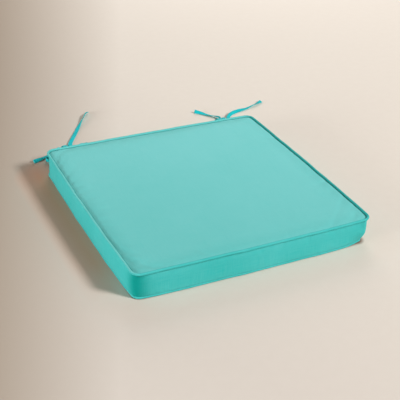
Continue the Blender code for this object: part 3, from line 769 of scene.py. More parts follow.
welt("welt_top", TOP_SEAM_Z, ["top_welt_cover"])
welt("welt_bottom", BOTTOM_SEAM_Z, ["bottom_welt_cover"], True)
print("piping", round(WELT_RADIUS * 2000, 1), "mm thick")

# %% [markdown]
# ## What lies inside
#
# The filler cord, the batting and the foam can't be seen, but a cover with nothing in it isn't a pad.
# The cord is three strands laid up together. The batting fills the space between the foam's flat faces
# and the crowned cloth.

# %% Cottons and foam


def fibrous(name, colour, shadow, scale, bump):
    """A soft, matt filling: fine noise for the fibres or cells and a broad one for the colour."""
    r = Recipe(name)
    place = r.add("ShaderNodeTexCoord").outputs["Object"]
    cells = r.add("ShaderNodeTexVoronoi", {"Vector": place, "Scale": scale}).outputs["Distance"]
    fibres = r.noise(place, scale * 0.7, 5.0)
    dye = r.mix(r.ramp(cells, 0.0, 0.6), shadow, colour)
    dye = r.mix(r.ramp(r.noise(place, 12.0), 0.35, 0.7, 0.0, 0.35), dye, shadow)
    relief = r.math("ADD", cells, fibres).outputs[0]
    lumps = r.bump(relief, bump, 0.0006)
    r.set(Base_Color=dye, Roughness=r.ramp(fibres, 0.3, 0.7, 0.85, 0.95), Normal=lumps)
    r.shader.inputs["Sheen Weight"].default_value = 0.2
    return r.material


cotton = fibrous("white_cotton", rgb(0.82, 0.80, 0.75), rgb(0.60, 0.58, 0.53), 900.0, 0.5)
wadding = fibrous("white_batting", rgb(0.88, 0.88, 0.86), rgb(0.70, 0.70, 0.68), 260.0, 0.6)
foam = fibrous("cream_foam", rgb(0.83, 0.76, 0.55), rgb(0.55, 0.47, 0.30), 1400.0, 0.7)
print("fillings:", ", ".join(finish.name for finish in (cotton, wadding, foam)))

# %% Fill the cover
FILLER_RADIUS, FILLER_GROOVE = 0.0014, 0.0001
FILLER_STRANDS, FILLER_LAY = 3, 0.014
FILLER_STEPS, FILLER_SIDES = 440, 12
FILLING_INSET = 0.0045
FILLING_CELLS = 4
CLOTH_GAP = 0.0003
FOAM_EDGE = 0.0015
FOAM_FOOT = 0.0100


def filler_cord(name, seam_z, node, drawn_in=False):
    centres, outs, ups, _ = piping_line(seam_z, drawn_in, FILLER_STEPS)
    angles = np.linspace(0, 2 * math.pi, FILLER_SIDES, endpoint=False)
    turns = round(SEAM_LENGTH / FILLER_LAY)
    lay = 2 * math.pi * turns * np.arange(FILLER_STEPS)[:, None] / FILLER_STEPS
    radius = FILLER_RADIUS + FILLER_GROOVE * np.cos(FILLER_STRANDS * angles - lay)
    obj = sweep(name, centres, outs, ups, round_section(radius, angles), True)
    return finish_piece(obj, cotton, "pad", [node])


def slab(name, upper, lower, flat):
    """A closed solid between two grids of points."""
    rows, columns = upper.shape[:2]
    count = rows * columns
    faces = grid_faces(rows, columns)
    faces += [tuple(v + count for v in face[::-1]) for face in grid_faces(rows, columns)]
    rim = list(range(columns))
    rim += [i * columns + columns - 1 for i in range(1, rows)]
    rim += [(rows - 1) * columns + j for j in range(columns - 2, -1, -1)]
    rim += [i * columns for i in range(rows - 2, 0, -1)]
    for a, b in zip(rim, rim[1:] + rim[:1]):
        faces.append((b, a, a + count, b + count))
    points = np.concatenate([upper.reshape(-1, 3), lower.reshape(-1, 3)])
    return outward(new_object(name, points, faces, np.concatenate([flat, flat]).reshape(-1, 3)))


def shrunk(surface, inset):
    """A coarser copy of a panel's surface, smaller by the inset."""
    plan = surface[::FILLING_CELLS, ::FILLING_CELLS].copy()
    plan[..., :2] *= 1 - inset / HALF
    return plan


def batting(name, surface, sign, node):
    """Batting from just under a panel to its CAD layer's face against the foam."""
    low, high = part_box(node)
    outer = shrunk(surface, FILLING_INSET)
    inner = outer.copy()
    outer[..., 2] -= sign * (CLOTH + CLOTH_GAP)
    inner[..., 2] = low.z if sign > 0 else high.z
    upper, lower = (outer, inner) if sign > 0 else (inner, outer)
    return finish_piece(slab(name, upper, lower, outer), wadding, "pad", [node])


def foam_block():
    """The foam is cut a little smaller at the foot, where the cover draws in."""
    low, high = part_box("foam_core")
    upper, lower = shrunk(top_surface, FOAM_EDGE), shrunk(top_surface, FOAM_FOOT)
    for face, height in ((upper, high.z), (lower, low.z)):
        face[..., 1] = np.minimum(face[..., 1], high.y)
        face[..., 2] = height
    return finish_piece(slab("foam_block", upper, lower, upper), foam, "pad", ["foam_core"])


filler_cord("filler_cord_top", TOP_SEAM_Z, "top_welt_cord")
filler_cord("filler_cord_bottom", BOTTOM_SEAM_Z, "bottom_welt_cord", True)
batting("batting_over_foam", top_surface, 1, "batting_top")
batting("batting_under_foam", bottom_surface, -1, "batting_bottom")
foam_block()
print("filled with foam, two layers of batting and two filler cords")

# %% [markdown]
# ## The zipped strip
#
# The rear strip is two lengths of canvas with folded edges, set a little inside the seam line so that the
# zipper sits in a shallow channel. Each length starts out of sight behind the piping, comes down nearly
# straight, and turns back on itself at the slot. The fold is drawn as a half circle in the profile.

# %% Build the zipped strip
strip_low, strip_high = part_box("zipper_panel_upper")
STRIP_FACE = strip_high.y
STRIP_HALF = strip_high.x
SLOT_HALF = strip_low.z - ZIP_Z
STRIP_CLOTH = 0.00045
FOLD_RADIUS = 0.0005
HEM_DEPTH = 0.005
STRIP_COLUMNS, STRIP_ROWS, FOLD_ROWS, HEM_ROWS = 150, 12, 6, 3
STRIP_LEAN = 0.0008
STRIP_PUCKER = 0.00012
FOLD_WEAR, FOLD_WEAR_WIDTH = 0.4, 0.0012


def strip_profile(x):
    """One strip's section at a place along it: (depth, height over the zipper's middle)."""
    top = TOP_SEAM_Z - BAND_TUCK - ZIP_Z
    bottom = SLOT_HALF + FOLD_RADIUS
    profile = []
    for k in range(STRIP_ROWS):
        share = k / (STRIP_ROWS - 1)
        lean = (STRIP_LEAN + bowed(x, HALF).y) * (1 - share) ** 2
        pucker = STRIP_PUCKER * math.sin(x * 420 + 2 * math.sin(x * 90)) * math.sin(math.pi * share)
        profile.append((STRIP_FACE + lean + pucker, top + (bottom - top) * share))
    for k in range(1, FOLD_ROWS + 1):
        turn = math.pi * k / FOLD_ROWS
        y = STRIP_FACE - FOLD_RADIUS + FOLD_RADIUS * math.cos(turn)
        profile.append((y, bottom - FOLD_RADIUS * math.sin(turn)))
    for k in range(1, HEM_ROWS + 1):
        profile.append((STRIP_FACE - 2 * FOLD_RADIUS, bottom + HEM_DEPTH * k / HEM_ROWS))
    return profile


def zipped_strip(name, sign, node):
    points, flat = [], []
    for x in np.linspace(-STRIP_HALF, STRIP_HALF, STRIP_COLUMNS):
        profile = strip_profile(x)
        run = 0.0
        for k, (y, z) in enumerate(profile):
            if k:
                run += math.hypot(y - profile[k - 1][0], z - profile[k - 1][1])
            points.append((x, y, ZIP_Z + sign * z))
            flat.append((x, run, 0))
    faces = grid_faces(STRIP_COLUMNS, STRIP_ROWS + FOLD_ROWS + HEM_ROWS, flip=sign < 0)
    obj = new_object(name, points, faces, flat)
    from_fold = [abs(z - ZIP_Z) - SLOT_HALF for _, _, z in points]
    mark(obj, "wear_and_painted_light", [FOLD_WEAR * math.exp(-away / FOLD_WEAR_WIDTH) for away in from_fold])
    thicken(obj, STRIP_CLOTH, -1)
    return finish_piece(obj, canvas, "pad", [node])


strip_upper = zipped_strip("strip_over_zipper", 1, "zipper_panel_upper")
strip_lower = zipped_strip("strip_under_zipper", -1, "zipper_panel_lower")
print("slot", round(SLOT_HALF * 2000, 1), "mm high")

# %% [markdown]
# ## The zipper
#
# A coil zipper's teeth are one long nylon thread wound into a flattened spring and sewn to a woven tape.
# Two springs mesh, each loop of one between two loops of the other. Separate teeth would be easy to
# copy along a line, but a single thread that winds is what the real thing is. The slider, its pull and
# the stops are cast metal under enamel: their own solids have the right shape, so they only get a finish,
# and the slider and the pull get rounded edges.

# %% Finishes of the zipper
TAPE_RIB, TAPE_CHEVRON = 0.0008, 0.0014
METAL_EDGE = 0.00012


def tape_weave(name):
    """Herringbone tape. It reads the place in the frame, because the tape's solid has no cloth grid."""
    r = Recipe(name)
    place = r.add("ShaderNodeSeparateXYZ", {"Vector": r.add("ShaderNodeTexCoord").outputs["Object"]})
    along, up = place.outputs[0], place.outputs[2]
    slant = r.math("PINGPONG", up, TAPE_CHEVRON)
    ridges = r.math("SINE", r.math("MULTIPLY", r.math("ADD", along, slant), 2 * math.pi / TAPE_RIB))
    height = r.math("MULTIPLY_ADD", ridges, 0.5, 0.5).outputs[0]
    # Painted shade: the tape is coloured darker in the grooves between its ribs.
    dye = r.mix(height, rgb(0.01, 0.30, 0.28), rgb(0.05, 0.46, 0.43))
    bump = r.bump(height, 0.5, 0.0001)
    r.set(Base_Color=dye, Roughness=r.ramp(height, 0, 1, 0.85, 0.65), Normal=bump)
    r.shader.inputs["Sheen Weight"].default_value = 0.15
    return r.material


def enamel(name):
    """Enamelled zinc, rubbed to bare metal on its sharpest edges."""
    r = Recipe(name)
    place = r.add("ShaderNodeTexCoord").outputs["Object"]
    sharp = r.add("ShaderNodeNewGeometry").outputs["Pointiness"]
    grain = r.noise(place, 900.0, 3.0)
    edge = r.math("MULTIPLY", r.ramp(sharp, 0.58, 0.70), r.ramp(grain, 0.58, 0.66)).outputs[0]
    paint = r.mix(r.noise(place, 260.0), rgb(0.02, 0.33, 0.31), rgb(0.05, 0.42, 0.39))
    bump = r.bump(r.noise(place, 1500.0), 0.08, 0.0002)
    r.set(
        Base_Color=r.mix(edge, paint, rgb(0.55, 0.54, 0.50)),
        Metallic=edge,
        Roughness=r.ramp(grain, 0.3, 0.7, 0.24, 0.38),
        Normal=bump,
    )
    r.shader.inputs["Coat Weight"].default_value = 0.4
    r.shader.inputs["Coat Roughness"].default_value = 0.15
    return r.material


def nylon(name):
    """Cloudy dyed nylon that lets a little light in."""
    r = Recipe(name)
    place = r.add("ShaderNodeTexCoord").outputs["Object"]
    cloudy = r.noise(place, 400.0)
    r.set(
        Base_Color=r.mix(cloudy, rgb(0.03, 0.36, 0.34), rgb(0.08, 0.50, 0.47)),
        Roughness=r.ramp(cloudy, 0.3, 0.7, 0.30, 0.45),
        Normal=r.bump(cloudy, 0.1, 0.0001),
    )
    r.shader.inputs["Subsurface Weight"].default_value = 0.08
    r.shader.inputs["Subsurface Scale"].default_value = 0.001
    return r.material


tape_cloth, zinc, coil_nylon = tape_weave("zipper_tape"), enamel("enamelled_zinc"), nylon("coil_nylon")
print("zipper finishes:", ", ".join(finish.name for finish in (tape_cloth, zinc, coil_nylon)))

# %% Dress the zipper's own solids
for node in ("zipper_tape_upper", "zipper_tape_lower"):
    frame["nodes"][node].data.materials.clear()
    frame["nodes"][node].data.materials.append(tape_cloth)
METAL_NODES = (
    "zipper_slider",
    "zipper_pull",
    "zipper_bottom_stop",
    "zipper_top_stop_upper",
    "zipper_top_stop_lower",
)
for node in METAL_NODES:
    solid = frame["nodes"][node]
    solid.data.materials.clear()
    solid.data.materials.append(zinc)
    if node in ("zipper_slider", "zipper_pull"):
        rounding = solid.modifiers.new("rounded_edges", "BEVEL")
        rounding.width = METAL_EDGE
        rounding.segments = 2
        rounding.limit_method = "ANGLE"
        rounding.angle_limit = math.radians(35)
print("zipper dressed:", ", ".join(METAL_NODES))

# %% Wind the coils
COIL_PITCH = 0.0014
COIL_WIRE, COIL_SIDES = 0.00024, 6
COIL_END = 0.0005
COIL_MESH = 0.00035
COIL_LEAN = 0.25
WINDING_STEPS = 12


def coil(name, sign, node):
    """One side's winding, inside its solid's box. Its heads reach past the middle, into the other side."""
    low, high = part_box(node)
    turns = int((high.x - low.x - 2 * COIL_END) / COIL_PITCH)
    count = turns * WINDING_STEPS
    middle_y, reach_y = (low.y + high.y) / 2, (high.y - low.y) / 2 - COIL_WIRE
    foot = max(abs(low.z - ZIP_Z), abs(high.z - ZIP_Z)) - COIL_WIRE
    middle_z, reach_z = (foot - COIL_MESH) / 2, (foot + COIL_MESH) / 2
    angle = np.linspace(0, 2 * math.pi * turns, count)
    start = low.x + COIL_END + (COIL_PITCH / 2 if sign > 0 else 0)
    x = start + COIL_PITCH * angle / (2 * math.pi)
    lean = COIL_LEAN * COIL_PITCH * np.sin(2 * angle)
    z = ZIP_Z + sign * (middle_z + reach_z * np.cos(angle))
    y = middle_y + reach_y * np.sin(angle)
    centres = np.column_stack([x - lean, y, z])
    ahead = np.gradient(centres, axis=0)
    ahead /= np.linalg.norm(ahead, axis=1)[:, None]
    sides = np.tile((1.0, 0.0, 0.0), (count, 1))
    sides -= ahead * (sides * ahead).sum(axis=1)[:, None]
    sides /= np.linalg.norm(sides, axis=1)[:, None]
    ups = np.cross(sides, ahead)
    ring = np.linspace(0, 2 * math.pi, COIL_SIDES, endpoint=False)
    obj = sweep(name, centres, sides, ups, round_section(COIL_WIRE, ring), False)
    return finish_piece(obj, coil_nylon, "pad", [node])


coils = [coil("coil_upper", 1, "zipper_coil_upper"), coil("coil_lower", -1, "zipper_coil_lower")]
print("coils of", [len(obj.data.vertices) for obj in coils], "points")

# %% [markdown]
# ## Ties
#
# Each tie is a narrow strip of canvas, folded and edge-stitched. Strips of this kind don't hang in tidy
# curves: they leave the seam together, drop behind the pad and twist as they lie. Each one follows a
# route of listed points. A route point is the distance to the right of the tab's middle, the distance
# behind the seam line, the height of the strip's lower edge, and its twist in degrees. The points are
# joined by a smooth curve, and a soft oval section is carried along it. Cloth simulation would lose the
# thin strip's width, so the shape is modelled directly.

# %% Set the routes of the ties
TIE_WIDTH = 0.008
TIE_THICKNESS = 0.0016
TIE_PITCH = 0.0095
TIE_LAYER = 0.0020
TIE_STRAIGHT = 0.004
TIE_ROOT = 0.0012
ROUTE_STEP, ROUTE_PARTS = 0.003, 24
TIE_HINGES = {j["child"]: Vector(j["pos_m"]) for j in frame["joints"] if j["child"].endswith("_ties")}

ROUTES = {
    "left_ties": {
        "tie_left_long_rear": [
            (0.0060, 0.0150, 0.0446, 0),
            (0.0090, 0.0290, 0.0345, 0),
            (0.0130, 0.0410, 0.0150, 0),
            (0.0175, 0.0540, 0.0030, 0),
            (0.0220, 0.0720, 0.0006, 0),
            (0.0280, 0.0900, 0.0006, 5),
            (0.0370, 0.1070, 0.0006, 10),
            (0.0480, 0.1250, 0.0006, 5),
            (0.0660, 0.1540, 0.0006, -5),
            (0.0800, 0.1760, 0.0006, -35),
            (0.0930, 0.1960, 0.0006, -60),
            (0.1030, 0.2110, 0.0006, -66),
            (0.1130, 0.2250, 0.0006, -20),
        ],
        "tie_left_long_side": [
            (-0.0055, 0.0150, 0.0446, 0),
            (-0.0050, 0.0290, 0.0345, 0),
            (-0.0035, 0.0410, 0.0150, 0),
            (-0.0005, 0.0530, 0.0030, 20),
            (0.0040, 0.0650, 0.0006, 50),
            (0.0070, 0.0760, 0.0006, 75),
            (0.0020, 0.0830, 0.0006, 70),
            (-0.0070, 0.0780, 0.0006, 50),
            (-0.0170, 0.0710, 0.0006, 38),
            (-0.0290, 0.0640, 0.0006, 20),
            (-0.0433, 0.0565, 0.0006, -20),
            (-0.0576, 0.0490, 0.0006, -52),
        ],
        "tie_left_short_side": [
            (-0.0080, 0.0130, 0.0370, 0),
            (-0.0130, 0.0230, 0.0220, 0),
            (-0.0190, 0.0310, 0.0080, 15),
            (-0.0260, 0.0370, 0.0010, 45),
            (-0.0320, 0.0425, 0.0006, 75),
            (-0.0335, 0.0490, 0.0006, 88),
            (-0.0270, 0.0530, 0.0006, 80),
            (-0.0180, 0.0530, 0.0006, 60),
        ],
        "tie_left_short_rear": [
            (0.0090, 0.0130, 0.0370, 0),
            (0.0150, 0.0240, 0.0220, 0),
            (0.0215, 0.0340, 0.0080, 0),
            (0.0290, 0.0450, 0.0010, 0),
            (0.0350, 0.0580, 0.0006, -10),
            (0.0390, 0.0720, 0.0006, -40),
            (0.0450, 0.0830, 0.0006, -55),
            (0.0550, 0.0880, 0.0006, -35),
            (0.0660, 0.0900, 0.0006, -10),
        ],
    },
    "right_ties": {
        "tie_right_long_rear": [
            (-0.0050, 0.0150, 0.0446, 0),
            (-0.0015, 0.0290, 0.0345, 0),
            (0.0045, 0.0410, 0.0150, 0),
            (0.0120, 0.0530, 0.0030, 10),
            (0.0220, 0.0650, 0.0006, 30),
            (0.0330, 0.0770, 0.0006, 60),
            (0.0410, 0.0880, 0.0006, 70),
            (0.0400, 0.0990, 0.0006, 55),
            (0.0330, 0.1100, 0.0006, 28),
            (0.0235, 0.1230, 0.0006, 10),
            (0.0130, 0.1340, 0.0006, -30),
            (0.0035, 0.1430, 0.0006, -60),
        ],
        "tie_right_long_side": [
            (0.0070, 0.0150, 0.0446, 0),
            (0.0140, 0.0290, 0.0345, 0),
            (0.0230, 0.0410, 0.0150, 0),
            (0.0330, 0.0530, 0.0030, 0),
            (0.0450, 0.0680, 0.0006, 0),
            (0.0550, 0.0830, 0.0006, 10),
            (0.0640, 0.0970, 0.0006, 25),
            (0.0780, 0.1070, 0.0006, 40),
            (0.0990, 0.1145, 0.0006, 30),
            (0.1200, 0.1210, 0.0006, -5),
            (0.1410, 0.1280, 0.0006, -30),
            (0.1550, 0.1340, 0.0006, -20),
            (0.1690, 0.1410, 0.0006, 25),
        ],
        "tie_right_short_side": [
            (0.0090, 0.0130, 0.0370, 0),
            (0.0170, 0.0230, 0.0220, 0),
            (0.0270, 0.0310, 0.0080, 0),
            (0.0390, 0.0380, 0.0010, 0),
            (0.0520, 0.0450, 0.0006, -15),
            (0.0650, 0.0520, 0.0006, -40),
            (0.0770, 0.0620, 0.0006, -50),
        ],
        "tie_right_short_rear": [
            (-0.0080, 0.0130, 0.0370, 0),
            (-0.0150, 0.0230, 0.0220, 0),
            (-0.0240, 0.0310, 0.0080, 0),
            (-0.0350, 0.0380, 0.0010, 0),
            (-0.0480, 0.0430, 0.0006, 15),
            (-0.0630, 0.0470, 0.0006, 40),
            (-0.0780, 0.0530, 0.0006, 60),
        ],
    },
}


def travelled_along(points):
    """The distance travelled to each of a line's points."""
    return np.concatenate([[0], np.cumsum(np.linalg.norm(np.diff(points, axis=0), axis=1))])


def smooth_route(points):
    """Even samples along a smooth curve through the points."""
    points = [np.array(p, float) for p in points]
    dense = []
    for k in range(len(points) - 1):
        a, b, c = points[max(k - 1, 0)], points[k], points[k + 1]
        d = points[min(k + 2, len(points) - 1)]
        square, cube = 2 * a - 5 * b + 4 * c - d, 3 * b - a - 3 * c + d
        for part in range(ROUTE_PARTS):
            t = part / ROUTE_PARTS
            dense.append(0.5 * (2 * b + (c - a) * t + square * t**2 + cube * t**3))
    dense = np.array(dense + [points[-1]])
    run = travelled_along(dense[:, :3])
    samples = round(run[-1] / ROUTE_STEP) + 1
    even = np.linspace(0, run[-1], samples)
    return np.column_stack([np.interp(even, run, dense[:, k]) for k in range(dense.shape[1])])


def tie_route(hinge, name, route):
    """Centre points and twists of a tie, from inside its tab to its tip."""
    shift = math.copysign(TIE_PITCH / 2, route[0][0])
    z = hinge.z + TIE_LAYER / 2 * (1 if "long" in name else -1)
    x = hinge.x + shift
    points = [(x, y, z, 0.0) for y in (HALF + TIE_ROOT, hinge.y, hinge.y + TIE_STRAIGHT)]
    for right, behind, lowest, twist in route:
        angle = math.radians(twist)
        standing = abs(math.sin(angle)) * TIE_WIDTH / 2 + abs(math.cos(angle)) * TIE_THICKNESS / 2
        points.append((hinge.x + right, HALF + behind, lowest + standing, angle))
    return smooth_route(points)


def tie_frame(samples):
    """The strip's forward, sideways and facing directions at each sample."""
    ahead = np.gradient(samples[:, :3], axis=0)
    ahead /= np.linalg.norm(ahead, axis=1)[:, None]
    right = np.cross(ahead, (0, 0, 1))
    right /= np.linalg.norm(right, axis=1)[:, None]
    up = np.cross(right, ahead)
    c, s = np.cos(samples[:, 3:4]), np.sin(samples[:, 3:4])
    return ahead, right * c - up * s, up * c + right * s


# %% [markdown]
# ## Stitches
#
# Stitches are what makes sewn cloth read as sewn. Each one is a short, plump bead of thread that dives
# into the cloth at both ends. A row is one mesh, so that a thousand of them cost little.

# %% Sew a row of stitches
BEAD = ((-0.5, 0.25, -0.5), (-0.3, 0.85, 0.35), (0.0, 1.0, 0.7), (0.3, 0.85, 0.35), (0.5, 0.25, -0.5))
BEAD_SIDES = 6
STITCH_LENGTH, STITCH_THICK = 0.0022, 0.00034


def sew(name, spots, aheads, normals, length=STITCH_LENGTH, thick=STITCH_THICK):
    """One bead of thread at each spot. The bead's rings are (along, width, height) shares."""
    spots, aheads, normals = (np.asarray(v, float) for v in (spots, aheads, normals))
    across = np.cross(aheads, normals)
    across /= np.linalg.norm(across, axis=1)[:, None]
    turns = np.linspace(0, 2 * math.pi, BEAD_SIDES, endpoint=False)
    rings = []
    for along, width, lift in BEAD:
        for turn in turns:
            radius = thick / 2 * width
            rings.append(
                spots
                + aheads * along * length
                + across * radius * math.cos(turn)
                + normals * (radius * math.sin(turn) + lift * thick / 2)
            )
    points = np.stack(rings, axis=1)
    size = len(BEAD) * BEAD_SIDES
    bead = grid_faces(len(BEAD), BEAD_SIDES, wrap_columns=True)
    bead += [tuple(range(BEAD_SIDES))[::-1], tuple(range(size - BEAD_SIDES, size))]
    faces = [tuple(v + k * size for v in face) for k in range(len(spots)) for face in bead]
    return outward(new_object(name, points.reshape(-1, 3), faces, points.reshape(-1, 3)))


# %% Cut and sew the ties
STRIP_WIDTH = 0.0078
STRIP_THICK = 0.0011
TIE_HEM = 0.005
TIE_WEAR = 0.5
TIE_STITCH = 0.0030
TIE_STITCH_EDGE = 0.0028
TIE_STITCH_LENGTH, TIE_STITCH_THICK = 0.0019, 0.00032
STITCH_SINK = 0.98
STITCHED_FROM, STITCHED_SHORT = 0.010, 0.002
STRIP_POINTS = 9
EDGE_THINNING = 0.55
HEM_THICKENING = 0.35
CUPPING = 0.00035


def tie_section(count):
    """An oval strip section at each sample: uneven in width, cupped, and thicker at the hem."""
    us = np.linspace(-1, 1, STRIP_POINTS)
    top = [(u, (1 - EDGE_THINNING * abs(u) ** 6)) for u in us]
    loop = np.array(top + [(u, -v) for u, v in top[::-1]])
    s = np.arange(count) * ROUTE_STEP
    width = STRIP_WIDTH / 2 * (1 + 0.03 * np.sin(s * 170) + 0.02 * np.sin(s * 410 + 1))
    to_tip = (count - 1 - np.arange(count)) * ROUTE_STEP
    thick = STRIP_THICK / 2 * (1 + HEM_THICKENING * (to_tip < TIE_HEM))
    section = np.zeros((count, len(loop), 2))
    section[..., 0] = loop[:, 0] * width[:, None]
    section[..., 1] = loop[:, 1] * thick[:, None]
    section[..., 1] += CUPPING * (1 - loop[:, 0] ** 2) * np.sin(s * 95 + 0.5)[:, None]
    return section


def stitch_tie(name, samples, ahead, side, facing, run):
    """A row of stitches along one edge, on both faces of the strip."""
    track = np.column_stack([samples[:, :3], ahead, side, facing])
    spots, aheads, normals = [], [], []
    for face in (1, -1):
        for place in np.arange(STITCHED_FROM, run[-1] - STITCHED_SHORT, TIE_STITCH):
            row = [np.interp(place, run, column) for column in track.T]
            spot, go, out, up = (np.array(row[k : k + 3]) for k in (0, 3, 6, 9))
            spots.append(spot + out * TIE_STITCH_EDGE + up * face * STRIP_THICK / 2 * STITCH_SINK)
            aheads.append(go / np.linalg.norm(go))
            normals.append(up * face / np.linalg.norm(up))
    seam = sew(f"stitching_{name}", spots, aheads, normals, TIE_STITCH_LENGTH, TIE_STITCH_THICK)
    return finish_piece(seam, thread_finish)


def make_tie(hinge, name, route):
    """A tie and its stitches."""
    samples = tie_route(hinge, name, route)
    ahead, side, facing = tie_frame(samples)
    strip = sweep(f"strip_{name}", samples[:, :3], side, facing, tie_section(len(samples)), False)
    across = np.linspace(-1, 1, STRIP_POINTS)
    across = np.tile(np.concatenate([across, across[::-1]]), len(samples))
    mark(strip, "wear_and_painted_light", TIE_WEAR * np.abs(across) ** 4)
    finish_piece(strip, tie_canvas, None, [name])
    run = travelled_along(samples[:, :3])
    seam = stitch_tie(name, samples, ahead, side, facing, run)
    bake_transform(strip)
    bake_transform(seam)
    return strip, seam, samples, float(run[-1])


# %% Make the tabs that hold the ties
TAB_GRID = (9, 15)
TAB_ROUNDING = 0.0007
TAB_NARROWING = 0.10
TAB_STITCHES, TAB_SPACING, TAB_SINK = 5, 0.0031, 0.00003
TAB_STITCH_LENGTH, TAB_STITCH_THICK = 0.0022, 0.0004


def tie_tab(name, node):
    """The folded tab that holds four strips in the seam: a soft block, sewn through."""
    low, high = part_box(node)
    rows, columns = TAB_GRID
    us, vs = np.linspace(-1, 1, columns), np.linspace(-1, 1, rows)
    mid, half = (low + high) / 2, (high - low) / 2
    rear, front = np.zeros((rows, columns, 3)), np.zeros((rows, columns, 3))
    for i, v in enumerate(vs):
        for j, u in enumerate(us):
            pillow = (1 - abs(u) ** 4) * (1 - abs(v) ** 4)
            x, z = mid.x + u * half.x, mid.z + v * half.z * (1 - TAB_NARROWING * abs(u) ** 3)
            rear[i, j] = (x, high.y - TAB_ROUNDING * (1 - pillow), z)
            front[i, j] = (x, low.y, z)
    obj = slab(name, rear, front, rear)
    finish_piece(obj, tie_canvas, "pad", [node])
    places = [mid.x + (k - TAB_STITCHES // 2) * TAB_SPACING for k in range(TAB_STITCHES)]
    spots = [(x, high.y - TAB_SINK, mid.z) for x in places]
    aheads, normals = [(1, 0, 0)] * TAB_STITCHES, [(0, 1, 0)] * TAB_STITCHES
    seam = sew(f"{name}_stitching", spots, aheads, normals, TAB_STITCH_LENGTH, TAB_STITCH_THICK)
    finish_piece(seam, thread_finish, "pad")
    return obj, seam


# %% Make both groups of ties
tie_lengths = {}
for body, routes in ROUTES.items():
    hinge = TIE_HINGES[body]
    corner = body.split("_")[0]
    tab = tie_tab(f"corner_tab_{corner}", f"tie_tab_{corner}")
    for name, route in routes.items():
        strip, seam, samples, length = make_tie(hinge, name, route)
        tie_lengths[name] = round(length * 1000)
print("ties, mm:", tie_lengths)

# %% [markdown]
# ## Seam stitching
#
# Along both sides of the top piping the machine's stitches just show in the groove, and the zipped strip
# and the laps are topstitched. Each stitch is laid on the cloth by looking for the surface under it.

# %% Sew the seams
SEAM_SPACING, SEAM_STITCH_LENGTH, SEAM_STITCH_THICK = 0.0034, 0.0024, 0.0006
TOP_SPACING = 0.0032
INSIDE_PIPING, UNDER_PIPING = 0.0029, 0.0040
ABOVE_CLOTH, BESIDE_CLOTH = 0.07, 0.02
LAP_MARGIN = 0.002
STRIP_ROW, STRIP_ROW_START = 0.0022, 0.001
LAP_ROWS = (0.0024, 0.0100)
LAP_ROW_FOOT = 0.0042


def surface_of(obj):
    """A piece's faces, in a form that a line can be cast at."""
    mesh = obj.data
    points = [obj.matrix_world @ v.co for v in mesh.vertices]
    return BVHTree.FromPolygons(points, [tuple(p.vertices) for p in mesh.polygons])


bpy.context.view_layer.update()
band_surface, top_cloth, strip_up_cloth, strip_low_cloth = (
    surface_of(o) for o in (band, cover_top, strip_upper, strip_lower)
)


def sew_on(name, cloth, starts, aims, aheads, length=STITCH_LENGTH, thick=STITCH_THICK):
    """Casts a line to the cloth for each stitch, and lays the stitch flat where it lands."""
    spots, ways, normals = [], [], []
    for start, aim, ahead in zip(starts, aims, aheads):
        spot, normal, _, _ = cloth.ray_cast(Vector(start), Vector(aim))
        if spot is None:
            continue
        normal = normal if normal.dot(Vector(aim)) < 0 else -normal
        ahead = Vector(ahead)
        ahead = (ahead - normal * ahead.dot(normal)).normalized()
        spots.append(spot)
        ways.append(ahead)
        normals.append(normal)
    row = sew(name, spots, ways, normals, length, thick)
    print(name, len(spots), "stitches")
    return finish_piece(row, thread_finish, "pad")


def round_row(name, cloth, inset, z, downwards):
    """A row along the seam line, cast down on the top panel or inwards on the band."""
    count = round(SEAM_LENGTH / SEAM_SPACING)
    travelled = [SEAM_LENGTH * (k + 0.5) / count for k in range(count)]
    if not downwards:
        limit = OPENING_HALF + LAP_MARGIN
        travelled = [s for s in travelled if limit < s < SEAM_LENGTH - limit]
    plan, outs = seam_at(travelled, inset)
    aheads = [(-o[1], o[0], 0) for o in outs]
    if downwards:
        starts, aims = [(p[0], p[1], z) for p in plan], [(0, 0, -1)] * len(plan)
    else:
        starts = [(*(p + o * BESIDE_CLOTH), z) for p, o in zip(plan, outs)]
        aims = [(-o[0], -o[1], 0) for o in outs]
    return sew_on(name, cloth, starts, aims, aheads, SEAM_STITCH_LENGTH, SEAM_STITCH_THICK)


def rear_row(name, cloth, places, ahead):
    """A row on the rear edge. Each place is (along, height), and every stitch lies the same way."""
    starts = [(x, HALF + BESIDE_CLOTH, z) for x, z in places]
    return sew_on(name, cloth, starts, [(0, -1, 0)] * len(starts), [ahead] * len(starts))


round_row("stitching_inside_top_piping", top_cloth, INSIDE_PIPING, ABOVE_CLOTH, True)
round_row("stitching_under_top_piping", band_surface, 0, TOP_SEAM_Z - UNDER_PIPING, False)

for name, cloth, sign in (("upper", strip_up_cloth, 1), ("lower", strip_low_cloth, -1)):
    xs = np.arange(-OPENING_HALF + STRIP_ROW_START, OPENING_HALF, TOP_SPACING)
    z = ZIP_Z + sign * (SLOT_HALF + STRIP_ROW)
    rear_row(f"topstitching_{name}_strip", cloth, [(x, z) for x in xs], (1, 0, 0))
for side, sign in (("left", -1), ("right", 1)):
    zs = np.arange(BOTTOM_SEAM_Z + LAP_ROW_FOOT, TOP_SEAM_Z - UNDER_PIPING, TOP_SPACING)
    places = [(sign * (OPENING_HALF + inset), z) for inset in LAP_ROWS for z in zs]
    rear_row(f"topstitching_{side}_lap", band_surface, places, (0, 0, 1))

# %% [markdown]
# ## Floor and light
#
# A large pale floor, a dim warm sky, and one soft lamp from the front right that throws the shadow to the
# left. A low card on the left lights the pad's left side without washing out that shadow, and a broad card
# behind gives the top its faint gloss. Light and shade are also painted on the floor: it is coloured
# darker towards the left and paler towards the rear right, browner as a painted shadow at the pad's left
# foot, and dark as a painted contact shadow where the pad touches it.

# %% Lay the floor
FLOOR_PALE = rgb(0.768, 0.707, 0.650)
